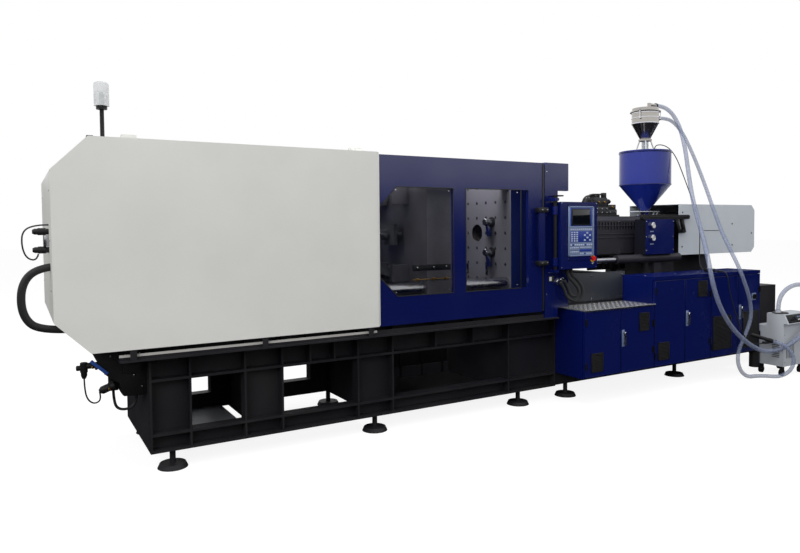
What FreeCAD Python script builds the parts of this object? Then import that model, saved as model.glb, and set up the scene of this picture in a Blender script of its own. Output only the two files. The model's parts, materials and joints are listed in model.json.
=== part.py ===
"""Toggle injection moulding machine with hopper loader, as a parametric document.

Millimetres, +Z up, floor at z = 0. The machine runs along X: the clamp end lies
towards -X, the injection end towards +X and the operator stands at -Y.
Lengths along X are counted from the mould face of the fixed platen, lengths
along Y from the machine's centreline and heights from the floor.
"""
import FreeCAD, Part
import math
import os
import re

import Sketcher

SIZES = {
    # Where the machine stands in its frame
    "mould_face_x": -120, "axis_y": 233, "axis_over_bed": 620,
    # Clamp bed, a welded frame of two I-section sides
    "bed_left": 3054, "bed_right": 500, "bed_half": 524, "bed_bottom": 127, "bed_top": 925,
    "bed_web": 16, "flange_depth": 80, "flange_plate": 18, "lower_beam_top": 256,
    "upper_beam_bottom": 602, "rib_plate": 14, "cross_plate": 20,
    "window_a_inset": 270, "window_a_width": 364, "column_b": 288, "window_b_width": 597,
    "column_c": 320, "window_c_width": 1156,
    # Injection bed and the levelling feet of both beds
    "inj_bed_end": 4030, "inj_bed_half": 500, "inj_bed_top": 885, "inj_bed_skid": 110,
    "foot_radius": 100, "foot_height": 30, "foot_stud": 20, "foot_inset": 70,
    # Platens, tie bars and nuts
    "platen_half_width": 500, "platen_half_height": 590, "platen_corner": 90,
    "fixed_thickness": 320, "moving_thickness": 280, "rear_thickness": 300,
    "mould_gap": 600, "ring_bore": 80, "ring_depth": 25, "nozzle_bore": 62,
    "tie_half_y": 420, "tie_half_z": 445, "tie_radius": 55, "tie_fit": 0.05,
    "nut_radius": 78, "nut_length": 110, "platen_leg": 150, "shoe_gap": 0.5,
    "guide_strip": 20, "guide_strip_width": 110,
    # Toggle linkage: pivots are counted from the axis, links between pivot centres
    "rear_face": 2070, "rear_pivot_out": 215, "rear_pivot_up": 520, "moving_pivot_out": 110,
    "moving_pivot_up": 330, "pin_radius": 38, "pin_fit": 0.05,
    "lug_plate": 46, "link_plate": 48, "link_near": 62, "link_gap": 2, "boss_radius": 72,
    "elbow_radius": 45, "elbow_back": 90, "elbow_up": 130,
    # Crosshead, its guide rods and the clamp cylinder
    "crosshead_half": 240, "crosshead_arm": 30, "crosshead_core": 58, "crosshead_core_up": 62,
    "crosshead_length": 110, "crosshead_front": 1700, "guide_half_y": 200, "guide_radius": 18,
    "guide_end": 1230, "piston_radius": 45, "piston_back": 200, "clamp_cyl_radius": 125,
    "clamp_cyl_length": 620,
    # Ejector
    "ejector_radius": 48, "ejector_length": 260, "ejector_plate": 36, "ejector_half": 120,
    "ejector_rod": 18, "ejector_rod_y": 84, "ejector_gap": 60,
    # Hood over the toggle
    "hood_left": 3604, "hood_right": 1434, "hood_half": 700, "hood_lap": 65, "hood_up": 625,
    "hood_top_chamfer": 207, "hood_low_chamfer": 197, "sheet": 4, "hood_return": 13,
    "hood_box_length": 90, "hood_box_width": 70, "hood_box_height": 48,
    # Safety doors and their rails
    "door_left": 1500, "door_right": 200, "door_out": 680, "door_thickness": 30,
    "door_lap": 68, "door_up": 610, "pane": 4, "pane_lap": 22,
    "pane_low": 468, "pane_up": 370, "pane_a_left": 1430, "pane_a_right": 742,
    "pane_b_left": 619, "pane_b_right": 43, "pane_chamfer": 165,
    "rail_drop": 143, "rail_shelf": 12, "rail_height": 34, "rail_width": 10,
    "rail_left": 3250, "top_rail_lap": 43, "top_rail_height": 36, "post_width": 40,
    "handle_width": 68, "handle_low": 280, "handle_up": 217,
    "handle_out": 50, "handle_plate": 6, "handle_right": 188, "handle_bracket": 26,
    # Fixed panels beside the doors
    "panel_left": 229, "panel_waist": 381, "panel_right": 508, "panel_lap": 48,
    "panel_low": 310, "panel_up": 372, "panel_high": 615, "panel_depth": 34,
    # Control panel on its hinge post
    "post_x": 286, "post_out": 750, "post_radius": 15, "post_low": 355, "post_up": 323,
    "post_arm": 24, "hmi_left": 312, "hmi_width": 440, "hmi_low": 320, "hmi_height": 590,
    "hmi_depth": 95, "hmi_front": 790, "screen_left": 434, "screen_rise": 375, "screen_width": 212,
    "screen_height": 152, "screen_proud": 3, "bezel_proud": 6, "estop_x": 696, "estop_rise": 87,
    "estop_radius": 20, "estop_stem": 9, "estop_stand": 24, "estop_cap": 16, "estop_bore_depth": 14,
    # Beacon
    "beacon_x": 3289, "beacon_y": 450, "beacon_post": 13, "beacon_stand": 202,
    "beacon_collar": 33, "beacon_collar_height": 22, "beacon_lens": 46, "beacon_lens_height": 150,
    # Cabinets on the operator side
    "step_left": 507, "step_length": 909, "cabinet_front": 880,
    "cabinet_bottom": 250, "step_top": 852, "cabinet_top": 1115, "cabinet_sheet": 5,
    "cabinet_rim": 34, "tread_plate": 8, "leaf": 26, "leaf_gap": 4, "leaf_margin": 12,
    "step_leaf": 455, "width_a": 446, "width_b": 404, "width_c": 448, "width_d": 382,
    "hinge_radius": 7, "hinge_length": 62, "hinge_strap": 3, "rebate_width": 10, "rebate_depth": 2,
    "leaf_handle_radius": 9, "leaf_handle_length": 120, "louvre_slot": 7, "louvre_pitch": 17,
    "switch_radius": 26, "switch_inset": 112, "switch_drop": 277, "leaf_handle_in": 26,
    "leaf_handle_up": 18,
    # Injection carriage and its rails
    "slide_half_y": 250, "slide_width": 44, "slide_height": 46, "slide_left": 1500,
    "slide_right": 3980, "runner_height": 40, "runner_width": 100, "runner_length": 230,
    "runner_fit": 0.4, "carriage_left": 2080, "carriage_right": 3860, "carriage_half": 300,
    "carriage_plate": 60, "throat_x": 2336, "throat_half": 130, "throat_up": 155,
    "rear_block_x": 2980, "rear_block": 130, "barrel_radius": 82, "barrel_left": 350,
    "nozzle_radius": 32, "nozzle_tip": 45, "band_radius": 98, "band_width": 205, "band_pitch": 240,
    "band_first": 470, "band_count": 6, "traverse_half_y": 335, "traverse_drop": 290,
    "traverse_rod": 25, "traverse_rod_end": 1960, "traverse_cyl": 45, "traverse_left": 1500,
    "traverse_right": 2470, "traverse_cap": 60,
    "guard_left": 640, "guard_half": 200, "guard_low": 235, "guard_up": 155, "guard_slot": 16,
    "guard_pitch": 44, "guard_slots": 18, "guard_first": 1180,
    "gauge_left": 1866, "gauge_right": 2316, "gauge_out": 400, "gauge_low": 245, "gauge_up": 120,
    "gauge_radius": 34, "arm_left": 1840, "arm_right": 2600, "arm_height": 48, "arm_width": 52,
    "cover_left": 2480, "cover_right": 3860, "cover_half": 335, "cover_low": 270, "cover_up": 285,
    "cover_chamfer": 60, "cyl_radius": 75, "motor_radius": 150, "motor_length": 420,
    "hub_length": 120,
    # Hopper, receiver and loader
    "hopper_radius": 275, "hopper_wall": 3, "neck_length": 62, "hopper_cone": 290,
    "hopper_shell": 363, "hopper_neck": 41, "hopper_flange": 12, "hopper_flange_radius": 95,
    "lid_thickness": 10, "glass_radius": 37, "glass_seat": 12, "glass_length": 113,
    "receiver_flange": 50, "receiver_radius": 144, "receiver_foot": 10, "receiver_cone": 175,
    "receiver_shell": 123, "receiver_lid": 34, "receiver_outlet": 52,
    "port_radius": 20, "port_drop": 46, "elbow_in": 64, "elbow_height": 66, "pipe_reach": 70,
    "unit_gap": 30, "unit_length": 440, "unit_front": 1120, "unit_back": 810, "unit_split": 940,
    "unit_bottom": 108, "unit_low_top": 522, "unit_top": 660, "unit_panel_bottom": 560,
    "unit_panel_out": 46, "caster_radius": 38, "caster_width": 26, "unit_port_in": 34,
    "unit_port_out": 1040, "unit_port_height": 40, "hose_fit": 0.5, "tank_radius": 52,
    "tank_height": 165, "tank_gap": 15,
    "lance_radius": 19, "lance_arm": 24,
    # Free hoses and cables
    "vacuum_hose_radius": 23, "material_hose_radius": 20, "loader_cable_radius": 5,
    "conduit_radius": 14, "gland_radius": 20, "gland_length": 30,
    # Hydraulics at the clamp end and above the barrel
    "loop_radius": 24, "loop_y": 450, "plug_y": 360, "loop_high": 160, "loop_deep": 560,
    "plug_radius": 22, "plug_length": 92, "plug_up": 55, "plug_down": 60, "plug_block": 71,
    "plug_cable_radius": 5, "valve_cable_radius": 5, "valve_hose_radius": 9,
    "end_valve_out": 170, "end_valve_near": 200, "end_valve_far": 420,
    "manifold_left": 1290, "manifold_length": 500, "manifold_half": 125, "manifold_plate": 18,
    "tower_left": 1440, "tower_length": 200, "tower_height": 180, "solenoid_radius": 26,
}

# Places that follow from the lengths above
PLACES = {
    "axis_height": "bed_top + axis_over_bed",
    "window_a_left": "bed_left - window_a_inset",
    "window_b_left": "window_a_left - window_a_width - column_b",
    "window_c_left": "window_b_left - window_b_width - column_c",
    "hood_bottom": "bed_top - hood_lap", "hood_top": "axis_height + hood_up",
    "door_bottom": "bed_top - door_lap", "door_top": "axis_height + door_up",
    "pane_bottom": "axis_height - pane_low", "pane_top": "axis_height + pane_up",
    "rail_bottom": "bed_top - rail_drop", "top_rail_bottom": "door_top - top_rail_lap",
    "handle_bottom": "axis_height - handle_low", "handle_top": "axis_height + handle_up",
    "panel_bottom": "bed_top - panel_lap", "panel_low_top": "axis_height - panel_low",
    "panel_top_low": "axis_height + panel_up", "panel_top": "axis_height + panel_high",
    "post_bottom": "axis_height - post_low", "post_top": "axis_height + post_up",
    "hmi_bottom": "axis_height - hmi_low", "screen_bottom": "hmi_bottom + screen_rise",
    "estop_z": "hmi_bottom + estop_rise", "beacon_base": "hood_top + beacon_stand",
    "step_right": "step_left + step_length", "step_seam": "step_left + step_leaf",
    "seam_a": "step_right + width_a", "seam_b": "seam_a + width_b", "seam_c": "seam_b + width_c",
    "cabinet_right": "seam_c + width_d", "switch_x": "cabinet_right - switch_inset",
    "switch_z": "cabinet_top - switch_drop", "throat_top": "axis_height + throat_up",
    "hopper_cone_bottom": "throat_top + neck_length",
    "hopper_cone_top": "hopper_cone_bottom + hopper_cone",
    "hopper_top": "hopper_cone_top + hopper_shell",
    "glass_bottom": "hopper_top + lid_thickness + glass_seat",
    "glass_top": "glass_bottom + glass_length", "receiver_bottom": "glass_top + receiver_foot",
    "receiver_cone_top": "receiver_bottom + receiver_cone",
    "receiver_top": "receiver_cone_top + receiver_shell", "port_z": "receiver_top - port_drop",
    "elbow_x": "throat_x + elbow_in", "unit_left": "cabinet_right + unit_gap",
    "unit_right": "unit_left + unit_length", "unit_port_x": "unit_left + unit_port_in",
    "loop_top": "axis_height - loop_high", "loop_low": "axis_height - loop_deep",
}

doc = FreeCAD.newDocument("InjectionMouldingMachine")
sheet = doc.addObject("Spreadsheet::Sheet", "Sizes")
for row, (alias, value) in enumerate(SIZES.items(), 1):
    sheet.set("A%d" % row, alias)
    sheet.set("B%d" % row, str(value))
    sheet.setAlias("B%d" % row, alias)
for row, (alias, text) in enumerate(PLACES.items(), len(SIZES) + 1):
    sheet.set("A%d" % row, alias)
    sheet.set("B%d" % row, "=" + text)
    sheet.setAlias("B%d" % row, alias)
doc.recompute()

NODES = {}
TURN = {
    "x": FreeCAD.Rotation(FreeCAD.Vector(0, 1, 0), 90),
    "y": FreeCAD.Rotation(FreeCAD.Vector(1, 0, 0), -90),
    "z": FreeCAD.Rotation(),
}


# ---------------------------------------------------------------- helpers

def cell(text):
    """An expression with each size's name pointed at its cell."""
    named = lambda word: "Sizes." + word if word in SIZES or word in PLACES else word
    return re.sub(r"[A-Za-z_]\w*", lambda found: named(found.group(0)), str(text))


def number(text):
    """The present value of an expression."""
    return float(sheet.evalExpression(str(text)))


def bind(obj, **properties):
    """Bind properties of an object to expressions."""
    for name, text in properties.items():
        obj.setExpression(name, cell(text))
    return obj


def place(obj, x, y, z):
    """Bind an object's position: x from the mould face, y from the centreline, z from the floor."""
    obj.setExpression("Placement.Base.x", cell("mould_face_x + (%s)" % x))
    obj.setExpression("Placement.Base.y", cell("axis_y + (%s)" % y))
    obj.setExpression("Placement.Base.z", cell(z))
    return obj


def block(x, y, z, length, width, height):
    """A box from its lowest corner."""
    box = doc.addObject("Part::Box", "Block")
    bind(box, Length=length, Width=width, Height=height)
    return place(box, x, y, z)


def bar(axis, x, y, z, radius, length):
    """A round bar along an axis, from the centre of its first end."""
    cylinder = doc.addObject("Part::Cylinder", "Bar")
    cylinder.Placement = FreeCAD.Placement(FreeCAD.Vector(), TURN[axis])
    bind(cylinder, Radius=radius, Height=length)
    return place(cylinder, x, y, z)


def taper(axis, x, y, z, radius_1, radius_2, length):
    """A cone along an axis, from the centre of its first end."""
    cone = doc.addObject("Part::Cone", "Taper")
    cone.Placement = FreeCAD.Placement(FreeCAD.Vector(), TURN[axis])
    bind(cone, Radius1=radius_1, Radius2=radius_2, Height=length)
    return place(cone, x, y, z)


def fuse(*parts):
    """One solid from parts that meet."""
    joined = doc.addObject("Part::MultiFuse", "Join")
    joined.Shapes = list(parts)
    joined.Refine = True
    return joined


def group(*parts):
    """Separate solids kept together in one sub-part."""
    together = doc.addObject("Part::Compound", "Group")
    together.Links = list(parts)
    return together


def cut(base, *tools):
    """A part less its tools."""
    less = doc.addObject("Part::Cut", "Cut")
    less.Base = base
    less.Tool = tools[0] if len(tools) == 1 else group(*tools)
    less.Refine = True
    return less


def sketch_on(body, plane):
    """A new sketch on one of the body's own planes."""
    sketch = body.newObject("Sketcher::SketchObject", "Outline")
    face = [feature for feature in body.Origin.OriginFeatures if feature.Role == plane][0]
    sketch.AttachmentSupport = [(face, "")]
    sketch.MapMode = "FlatFace"
    return sketch


def pin_point(sketch, geometry, position, point):
    """Hold one point of a sketch at two expressions."""
    for kind, text in zip(("DistanceX", "DistanceY"), point):
        index = sketch.addConstraint(
            Sketcher.Constraint(kind, -1, 1, geometry, position, number(text)))
        sketch.setExpression("Constraints[%d]" % index, cell(text))


def draw_outline(sketch, points):
    """A closed outline of straight lines through points given as expressions."""
    corners = [FreeCAD.Vector(number(a), number(b), 0) for a, b in points]
    first = sketch.GeometryCount
    count = len(points)
    for index in range(count):
        sketch.addGeometry(Part.LineSegment(corners[index], corners[(index + 1) % count]), False)
    for index in range(count):
        following = first + (index + 1) % count
        sketch.addConstraint(Sketcher.Constraint("Coincident", first + index, 2, following, 1))
    for index, point in enumerate(points):
        pin_point(sketch, first + index, 1, point)


def draw_circle(sketch, centre, radius):
    """A circle from its centre and radius, given as expressions."""
    middle = FreeCAD.Vector(number(centre[0]), number(centre[1]), 0)
    index = sketch.addGeometry(
        Part.Circle(middle, FreeCAD.Vector(0, 0, 1), number(radius)), False)
    pin_point(sketch, index, 3, centre)
    held = sketch.addConstraint(Sketcher.Constraint("Radius", index, number(radius)))
    sketch.setExpression("Constraints[%d]" % held, cell(radius))


def rectangle(left, bottom, right, top):
    """The corners of an upright rectangle."""
    return [(left, bottom), (right, bottom), (right, top), (left, top)]


def plate(plane, outline, thickness, x, y, z, openings=(), bores=()):
    """A plate padded from an outline, with straight-sided openings and round bores.

    The outline's first number runs along the plane's first axis. The pad grows
    towards the positive side of the plane's normal axis.
    """
    body = doc.addObject("PartDesign::Body", "Plate")
    sketch = sketch_on(body, plane)
    draw_outline(sketch, outline)
    for opening in openings:
        draw_outline(sketch, opening)
    for centre_a, centre_b, radius in bores:
        draw_circle(sketch, (centre_a, centre_b), radius)
    pad = body.newObject("PartDesign::Pad", "Pad")
    pad.Profile = sketch
    pad.Reversed = plane == "XZ_Plane"
    bind(pad, Length=thickness)
    return place(body, x, y, z)


def turned(profile, x, y, z):
    """A turned piece from a half section of (radius, height) points about a vertical axis."""
    body = doc.addObject("PartDesign::Body", "Turned")
    sketch = sketch_on(body, "XZ_Plane")
    draw_outline(sketch, profile)
    revolution = body.newObject("PartDesign::Revolution", "Revolution")
    revolution.Profile = sketch
    revolution.ReferenceAxis = (sketch, ["V_Axis"])
    revolution.Angle = 360
    return place(body, x, y, z)


def node(name, obj):
    """Name a finished sub-part."""
    obj.Label = name
    NODES[name] = obj
    return obj


def side(sign, near, far):
    """The lowest y of a strip between two distances from the centreline, on one side."""
    return "-(%s)" % far if sign < 0 else "(%s)" % near


# ---------------------------------------------------------------- beds and feet

def clamp_bed():
    """Two I-section sides with windows and ribs, tied by cross plates and a deck."""
    length = "bed_left + bed_right"
    web_near = "bed_half - flange_depth - bed_web"
    windows = [rectangle("bed_left - window_%s_left" % key, "lower_beam_top",
                         "bed_left - window_%s_left + window_%s_width" % (key, key), "upper_beam_bottom")
               for key in "abc"]
    parts = []
    for sign in (-1, 1):
        parts.append(plate("XZ_Plane", rectangle("0", "bed_bottom", length, "bed_top"), "bed_web",
                           "-bed_left", side(sign, web_near, "bed_half - flange_depth"), "0", windows))
        strip = side(sign, "bed_half - flange_depth", "bed_half")
        for level in ("bed_bottom", "lower_beam_top - flange_plate", "upper_beam_bottom",
                      "bed_top - flange_plate"):
            parts.append(block("-bed_left", strip, level, length, "flange_depth", "flange_plate"))
        full = "bed_top - bed_bottom"
        for key in "abc":
            parts.append(block("-window_%s_left - rib_plate" % key, strip, "bed_bottom",
                               "rib_plate", "flange_depth", full))
            parts.append(block("-window_%s_left + window_%s_width" % (key, key), strip, "bed_bottom",
                               "rib_plate", "flange_depth", full))
        for end in ("-bed_left", "bed_right - rib_plate"):
            parts.append(block(end, strip, "bed_bottom", "rib_plate", "flange_depth", full))
        for share in (0.34, 0.67):
            for key in "bc":
                parts.append(block("-window_%s_left + window_%s_width * %s" % (key, key, share), strip,
                                   "upper_beam_bottom", "rib_plate", "flange_depth",
                                   "bed_top - upper_beam_bottom"))
    inner = "2 * (%s)" % web_near
    start = "-(%s)" % web_near
    cross_places = ("-bed_left", "(-window_a_left + window_a_width - window_b_left) / 2",
                    "(-window_b_left + window_b_width - window_c_left) / 2",
                    "-window_c_left + window_c_width + rib_plate", "bed_right - cross_plate")
    for place_x in cross_places:
        parts.append(block(place_x, start, "bed_bottom", "cross_plate", inner, "bed_top - bed_bottom"))
    for deck_left, deck_right in (("-bed_left", cross_places[2]), (cross_places[3], "bed_right")):
        parts.append(block(deck_left, start, "bed_top - flange_plate",
                           "(%s) - (%s)" % (deck_right, deck_left), inner, "flange_plate"))
    for sign in (-1, 1):
        parts.append(block("-bed_left", side(sign, "platen_half_width - guide_strip_width",
                                             "platen_half_width"), "bed_top",
                           length, "guide_strip_width", "guide_strip"))
    node("clamp_bed", fuse(*parts))


def injection_bed():
    """The closed bed under the injection unit, on a skid."""
    length = "inj_bed_end - bed_right"
    body = block("bed_right", "-inj_bed_half", "bed_bottom + inj_bed_skid", length,
                 "2 * inj_bed_half", "inj_bed_top - bed_bottom - inj_bed_skid")
    parts = [body]
    for sign in (-1, 1):
        parts.append(block("bed_right", side(sign, "inj_bed_half - flange_depth * 2", "inj_bed_half"),
                           "bed_bottom", length, "flange_depth * 2", "inj_bed_skid"))
    for sign in (-1, 1):
        parts.append(block("slide_left", side(sign, "slide_half_y - slide_width / 2",
                                              "slide_half_y + slide_width / 2"), "inj_bed_top",
                           "slide_right - slide_left", "slide_width", "slide_height"))
    panel_count = 4
    panel = "(%s) / %d" % (length, panel_count)
    recesses = [block("bed_right + (%s) * %d + rib_plate * 2" % (panel, index),
                      "inj_bed_half - bed_web", "bed_bottom + inj_bed_skid + rib_plate * 3",
                      "(%s) - rib_plate * 4" % panel, "bed_web", "inj_bed_top - bed_bottom"
                      " - inj_bed_skid - rib_plate * 6")
                for index in range(panel_count)]
    node("injection_bed", cut(fuse(*parts), *recesses))


def levelling_feet():
    """Round pads with studs under the corners of both beds."""
    places = ["-(bed_left - 150)", "-(window_c_left + 140)", "bed_right - 390", "bed_right + 190",
              "(bed_right + inj_bed_end) / 2", "inj_bed_end - 180"]
    feet = []
    for place_x in places:
        for sign in (-1, 1):
            centre = "%d * (bed_half - foot_inset)" % sign
            pad = taper("z", place_x, centre, "0", "foot_radius", "foot_radius * 0.86", "foot_height")
            stud = bar("z", place_x, centre, "foot_height", "foot_stud", "bed_bottom - foot_height")
            feet.append(fuse(pad, stud))
    node("levelling_feet", group(*feet))


# ---------------------------------------------------------------- platens and toggle

TIE_CENTRES = [(sign_y, sign_z) for sign_y in (-1, 1) for sign_z in (-1, 1)]


def tie_bores(radius):
    """The four tie-bar bores of a platen, in the platen's own outline."""
    return [("%d * tie_half_y" % sign_y, "%d * tie_half_z" % sign_z, radius)
            for sign_y, sign_z in TIE_CENTRES]


def platen_outline():
    """A platen seen along the machine: a rectangle with cut corners."""
    wide, tall, corner = "platen_half_width", "platen_half_height", "platen_corner"
    low = "-%s" % tall
    return [("-%s" % wide, "%s + %s" % (low, corner)), ("-%s + %s" % (wide, corner), low),
            ("%s - %s" % (wide, corner), low), (wide, "%s + %s" % (low, corner)),
            (wide, "%s - %s" % (tall, corner)), ("%s - %s" % (wide, corner), tall),
            ("-%s + %s" % (wide, corner), tall), ("-%s" % wide, "%s - %s" % (tall, corner))]


def platen_legs(left, length, clearance):
    """Feet from a platen down to the guide strips."""
    bottom = "bed_top + guide_strip + %s" % clearance
    return [block(left, side(sign, "platen_half_width - platen_leg", "platen_half_width"), bottom,
                  length, "platen_leg", "axis_height - platen_half_height + platen_corner - (%s)" % bottom)
            for sign in (-1, 1)]


def fixed_platen():
    """The fixed platen with its locating bore, nozzle passage and tie-bar bores."""
    bores = tie_bores("tie_radius") + [("0", "0", "nozzle_bore")]
    slab = plate("YZ_Plane", platen_outline(), "fixed_thickness", "0", "0", "axis_height", (), bores)
    rods = [("x", "fixed_thickness - traverse_cap", "%d * traverse_half_y" % sign,
             "axis_height - traverse_drop", "traverse_rod", "traverse_cap") for sign in (-1, 1)]
    recess = bar("x", "0", "0", "axis_height", "ring_bore", "ring_depth")
    funnel = taper("x", "fixed_thickness * 0.45", "0", "axis_height", "nozzle_bore",
                   "nozzle_bore * 1.9", "fixed_thickness * 0.55")
    drilled = cut(slab, recess, funnel, *[bar(*rod) for rod in rods])
    node("fixed_platen", fuse(drilled, *platen_legs("0", "fixed_thickness", "0")))


def lug_pair(left, length, centre_up, near, sign):
    """Two lug plates with a pivot boss, one each side of the centreline."""
    lugs = []
    for mirror in (-1, 1):
        lugs.append(block(left, side(mirror, near, "%s + lug_plate" % near),
                          "axis_height + %d * (%s) - boss_radius" % (sign, centre_up),
                          length, "lug_plate", "2 * boss_radius"))
    return lugs


def cross_pin(x, up, half_length, sign):
    """A pivot pin right across the lugs."""
    return bar("y", x, "-(%s)" % half_length, "axis_height + %d * (%s)" % (sign, up),
               "pin_radius", "2 * (%s)" % half_length)


REAR_LINK_NEAR = "link_near"
REAR_LINK_FAR = "link_near + link_plate"
FRONT_LINK_NEAR = "link_near + link_plate + link_gap"
FRONT_LINK_FAR = "link_near + 2 * link_plate + link_gap"
REAR_PIVOT_X = "-(rear_face - rear_pivot_out)"
MOVING_BACK = "-(mould_gap + moving_thickness)"
MOVING_PIVOT_X = "-(mould_gap + moving_thickness + moving_pivot_out)"


def moving_platen():
    """The moving platen with its ejector bores, lugs and pivot pins."""
    bores = tie_bores("tie_radius + tie_fit")
    bores += [("%d * ejector_rod_y" % sign, "0", "ejector_rod + tie_fit") for sign in (-1, 1)]
    slab = plate("YZ_Plane", platen_outline(), "moving_thickness", MOVING_BACK, "0",
                 "axis_height", (), bores)
    parts = [slab] + platen_legs(MOVING_BACK, "moving_thickness", "shoe_gap")
    for sign in (-1, 1):
        parts += lug_pair(MOVING_PIVOT_X + " - boss_radius * 0.7", "moving_pivot_out + boss_radius * 0.7",
                          "moving_pivot_up", FRONT_LINK_FAR + " + link_gap", sign)
        parts.append(cross_pin(MOVING_PIVOT_X, "moving_pivot_up",
                               FRONT_LINK_FAR + " + link_gap + lug_plate", sign))
    node("moving_platen", fuse(*parts))


def rear_platen():
    """The rear platen with its cylinder bore, lugs and pivot pins."""
    left = "-(rear_face + rear_thickness)"
    bores = tie_bores("tie_radius") + [("0", "0", "piston_radius + tie_fit")]
    for sign in (-1, 1):
        bores.append(("%d * guide_half_y" % sign, "0", "guide_radius"))
    slab = plate("YZ_Plane", platen_outline(), "rear_thickness", left, "0", "axis_height", (), bores)
    parts = [slab] + platen_legs(left, "rear_thickness", "0")
    for sign in (-1, 1):
        parts += lug_pair("-rear_face", "rear_pivot_out + boss_radius * 0.7", "rear_pivot_up",
                          REAR_LINK_FAR + " + link_gap", sign)
        parts.append(cross_pin(REAR_PIVOT_X, "rear_pivot_up", REAR_LINK_FAR + " + link_gap + lug_plate",
                               sign))
    node("rear_platen", fuse(*parts))


def tie_bars():
    """Four tie bars through the platens, and a nut at each end."""
    start = "-(rear_face + rear_thickness + nut_length + 30)"
    length = "rear_face + rear_thickness + fixed_thickness + 2 * (nut_length + 30)"
    bars, nuts = [], []
    for sign_y, sign_z in TIE_CENTRES:
        y, z = "%d * tie_half_y" % sign_y, "axis_height + %d * tie_half_z" % sign_z
        bars.append(bar("x", start, y, z, "tie_radius", length))
        for nut_x in ("-(rear_face + rear_thickness + nut_length)", "fixed_thickness"):
            nuts.append(cut(bar("x", nut_x, y, z, "nut_radius", "nut_length"),
                            bar("x", nut_x, y, z, "tie_radius", "nut_length")))
    node("tie_bars", group(*bars, *nuts))


def link(name, near, far, pivot_x, pivot_up, elbow_x, elbow_up, pivot_bore, elbow_bore, sign):
    """A pair of like links, one each side, from a pivot to the elbow.

    Every height is counted from the axis; sign mirrors the pair below it.
    """
    centre = (pivot_x, "%d * (%s)" % (sign, pivot_up))
    elbow = (elbow_x, "%d * (%s)" % (sign, elbow_up))
    rise = number(elbow[1]) - number(centre[1])
    run = number(elbow[0]) - number(centre[0])
    angle = math.degrees(math.atan2(rise, run))
    span = "sqrt(((%s) - (%s))^2 + ((%s) - (%s))^2)" % (elbow[0], centre[0], elbow[1], centre[1])
    links = []
    for mirror in (-1, 1):
        y = side(mirror, near, far)
        web = doc.addObject("Part::Box", "Web")
        bind(web, Length=span, Width="(%s) - (%s)" % (far, near), Height="2 * elbow_radius - 14")
        web.Placement = FreeCAD.Placement(
            FreeCAD.Vector(), FreeCAD.Rotation(FreeCAD.Vector(0, 1, 0), -angle))
        offset = "(elbow_radius - 7)"
        web.setExpression("Placement.Rotation.Angle", cell(
            "-1 * atan2(%s - (%s); %s - (%s))" % (elbow[1], centre[1], elbow[0], centre[0])))
        slope = "atan2(%s - (%s); %s - (%s))" % (elbow[1], centre[1], elbow[0], centre[0])
        place(web, "(%s) + %s * sin(%s)" % (centre[0], offset, slope), y,
              "axis_height + (%s) - %s * cos(%s)" % (centre[1], offset, slope))
        width = "(%s) - (%s)" % (far, near)
        big = bar("y", centre[0], y, "axis_height + (%s)" % centre[1], "boss_radius - 6", width)
        small = bar("y", elbow[0], y, "axis_height + (%s)" % elbow[1], "elbow_radius", width)
        bore = bar("y", centre[0], y, "axis_height + (%s)" % centre[1], pivot_bore, width)
        tools = [bore]
        if elbow_bore:
            tools.append(bar("y", elbow[0], y, "axis_height + (%s)" % elbow[1], elbow_bore, width))
        links.append(cut(fuse(web, big, small), *tools))
    node(name, group(*links))


def toggle_links():
    """Rear and front links of the upper and lower toggle."""
    elbow_x, elbow_up = REAR_PIVOT_X + " + elbow_back", "elbow_up"
    for sign, word in ((1, "upper"), (-1, "lower")):
        link("%s_rear_links" % word, REAR_LINK_NEAR, REAR_LINK_FAR, REAR_PIVOT_X, "rear_pivot_up",
             elbow_x, elbow_up, "pin_radius + pin_fit", "", sign)
        link("%s_front_links" % word, FRONT_LINK_NEAR, FRONT_LINK_FAR, MOVING_PIVOT_X,
             "moving_pivot_up", elbow_x, elbow_up, "pin_radius + pin_fit", "elbow_radius * 0.5", sign)


def crosshead_parts():
    """Crosshead with its piston rod, the guide rods and the clamp cylinder."""
    arms = block("-crosshead_front - crosshead_length", "-crosshead_half",
                 "axis_height - crosshead_arm", "crosshead_length", "2 * crosshead_half",
                 "2 * crosshead_arm")
    core = block("-crosshead_front - crosshead_length", "-crosshead_core",
                 "axis_height - crosshead_core_up", "crosshead_length", "2 * crosshead_core",
                 "2 * crosshead_core_up")
    back = "rear_face + rear_thickness + clamp_cyl_length - piston_back"
    rod = bar("x", "-(%s)" % back, "0", "axis_height", "piston_radius",
              back + " - crosshead_front - crosshead_length")
    bores = [bar("x", "-crosshead_front - crosshead_length", "%d * guide_half_y" % sign, "axis_height",
                 "guide_radius + tie_fit", "crosshead_length") for sign in (-1, 1)]
    node("crosshead", fuse(cut(fuse(arms, core), *bores), rod))
    rods = [bar("x", "-(rear_face + rear_thickness)", "%d * guide_half_y" % sign, "axis_height",
                "guide_radius", "rear_face + rear_thickness - guide_end") for sign in (-1, 1)]
    node("crosshead_guide_rods", group(*rods))
    left = "-(rear_face + rear_thickness + clamp_cyl_length)"
    barrel = bar("x", left, "0", "axis_height", "clamp_cyl_radius", "clamp_cyl_length")
    flange = block("-(rear_face + rear_thickness + 50)", "-clamp_cyl_radius - 35",
                   "axis_height - clamp_cyl_radius - 35", "50", "2 * clamp_cyl_radius + 70",
                   "2 * clamp_cyl_radius + 70")
    cap = block(left, "-clamp_cyl_radius - 15", "axis_height - clamp_cyl_radius - 15", "55",
                "2 * clamp_cyl_radius + 30", "2 * clamp_cyl_radius + 30")
    bore = bar("x", left + " + 40", "0", "axis_height", "piston_radius + tie_fit", "clamp_cyl_length - 40")
    node("clamp_cylinder", cut(fuse(barrel, flange, cap), bore))


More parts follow.
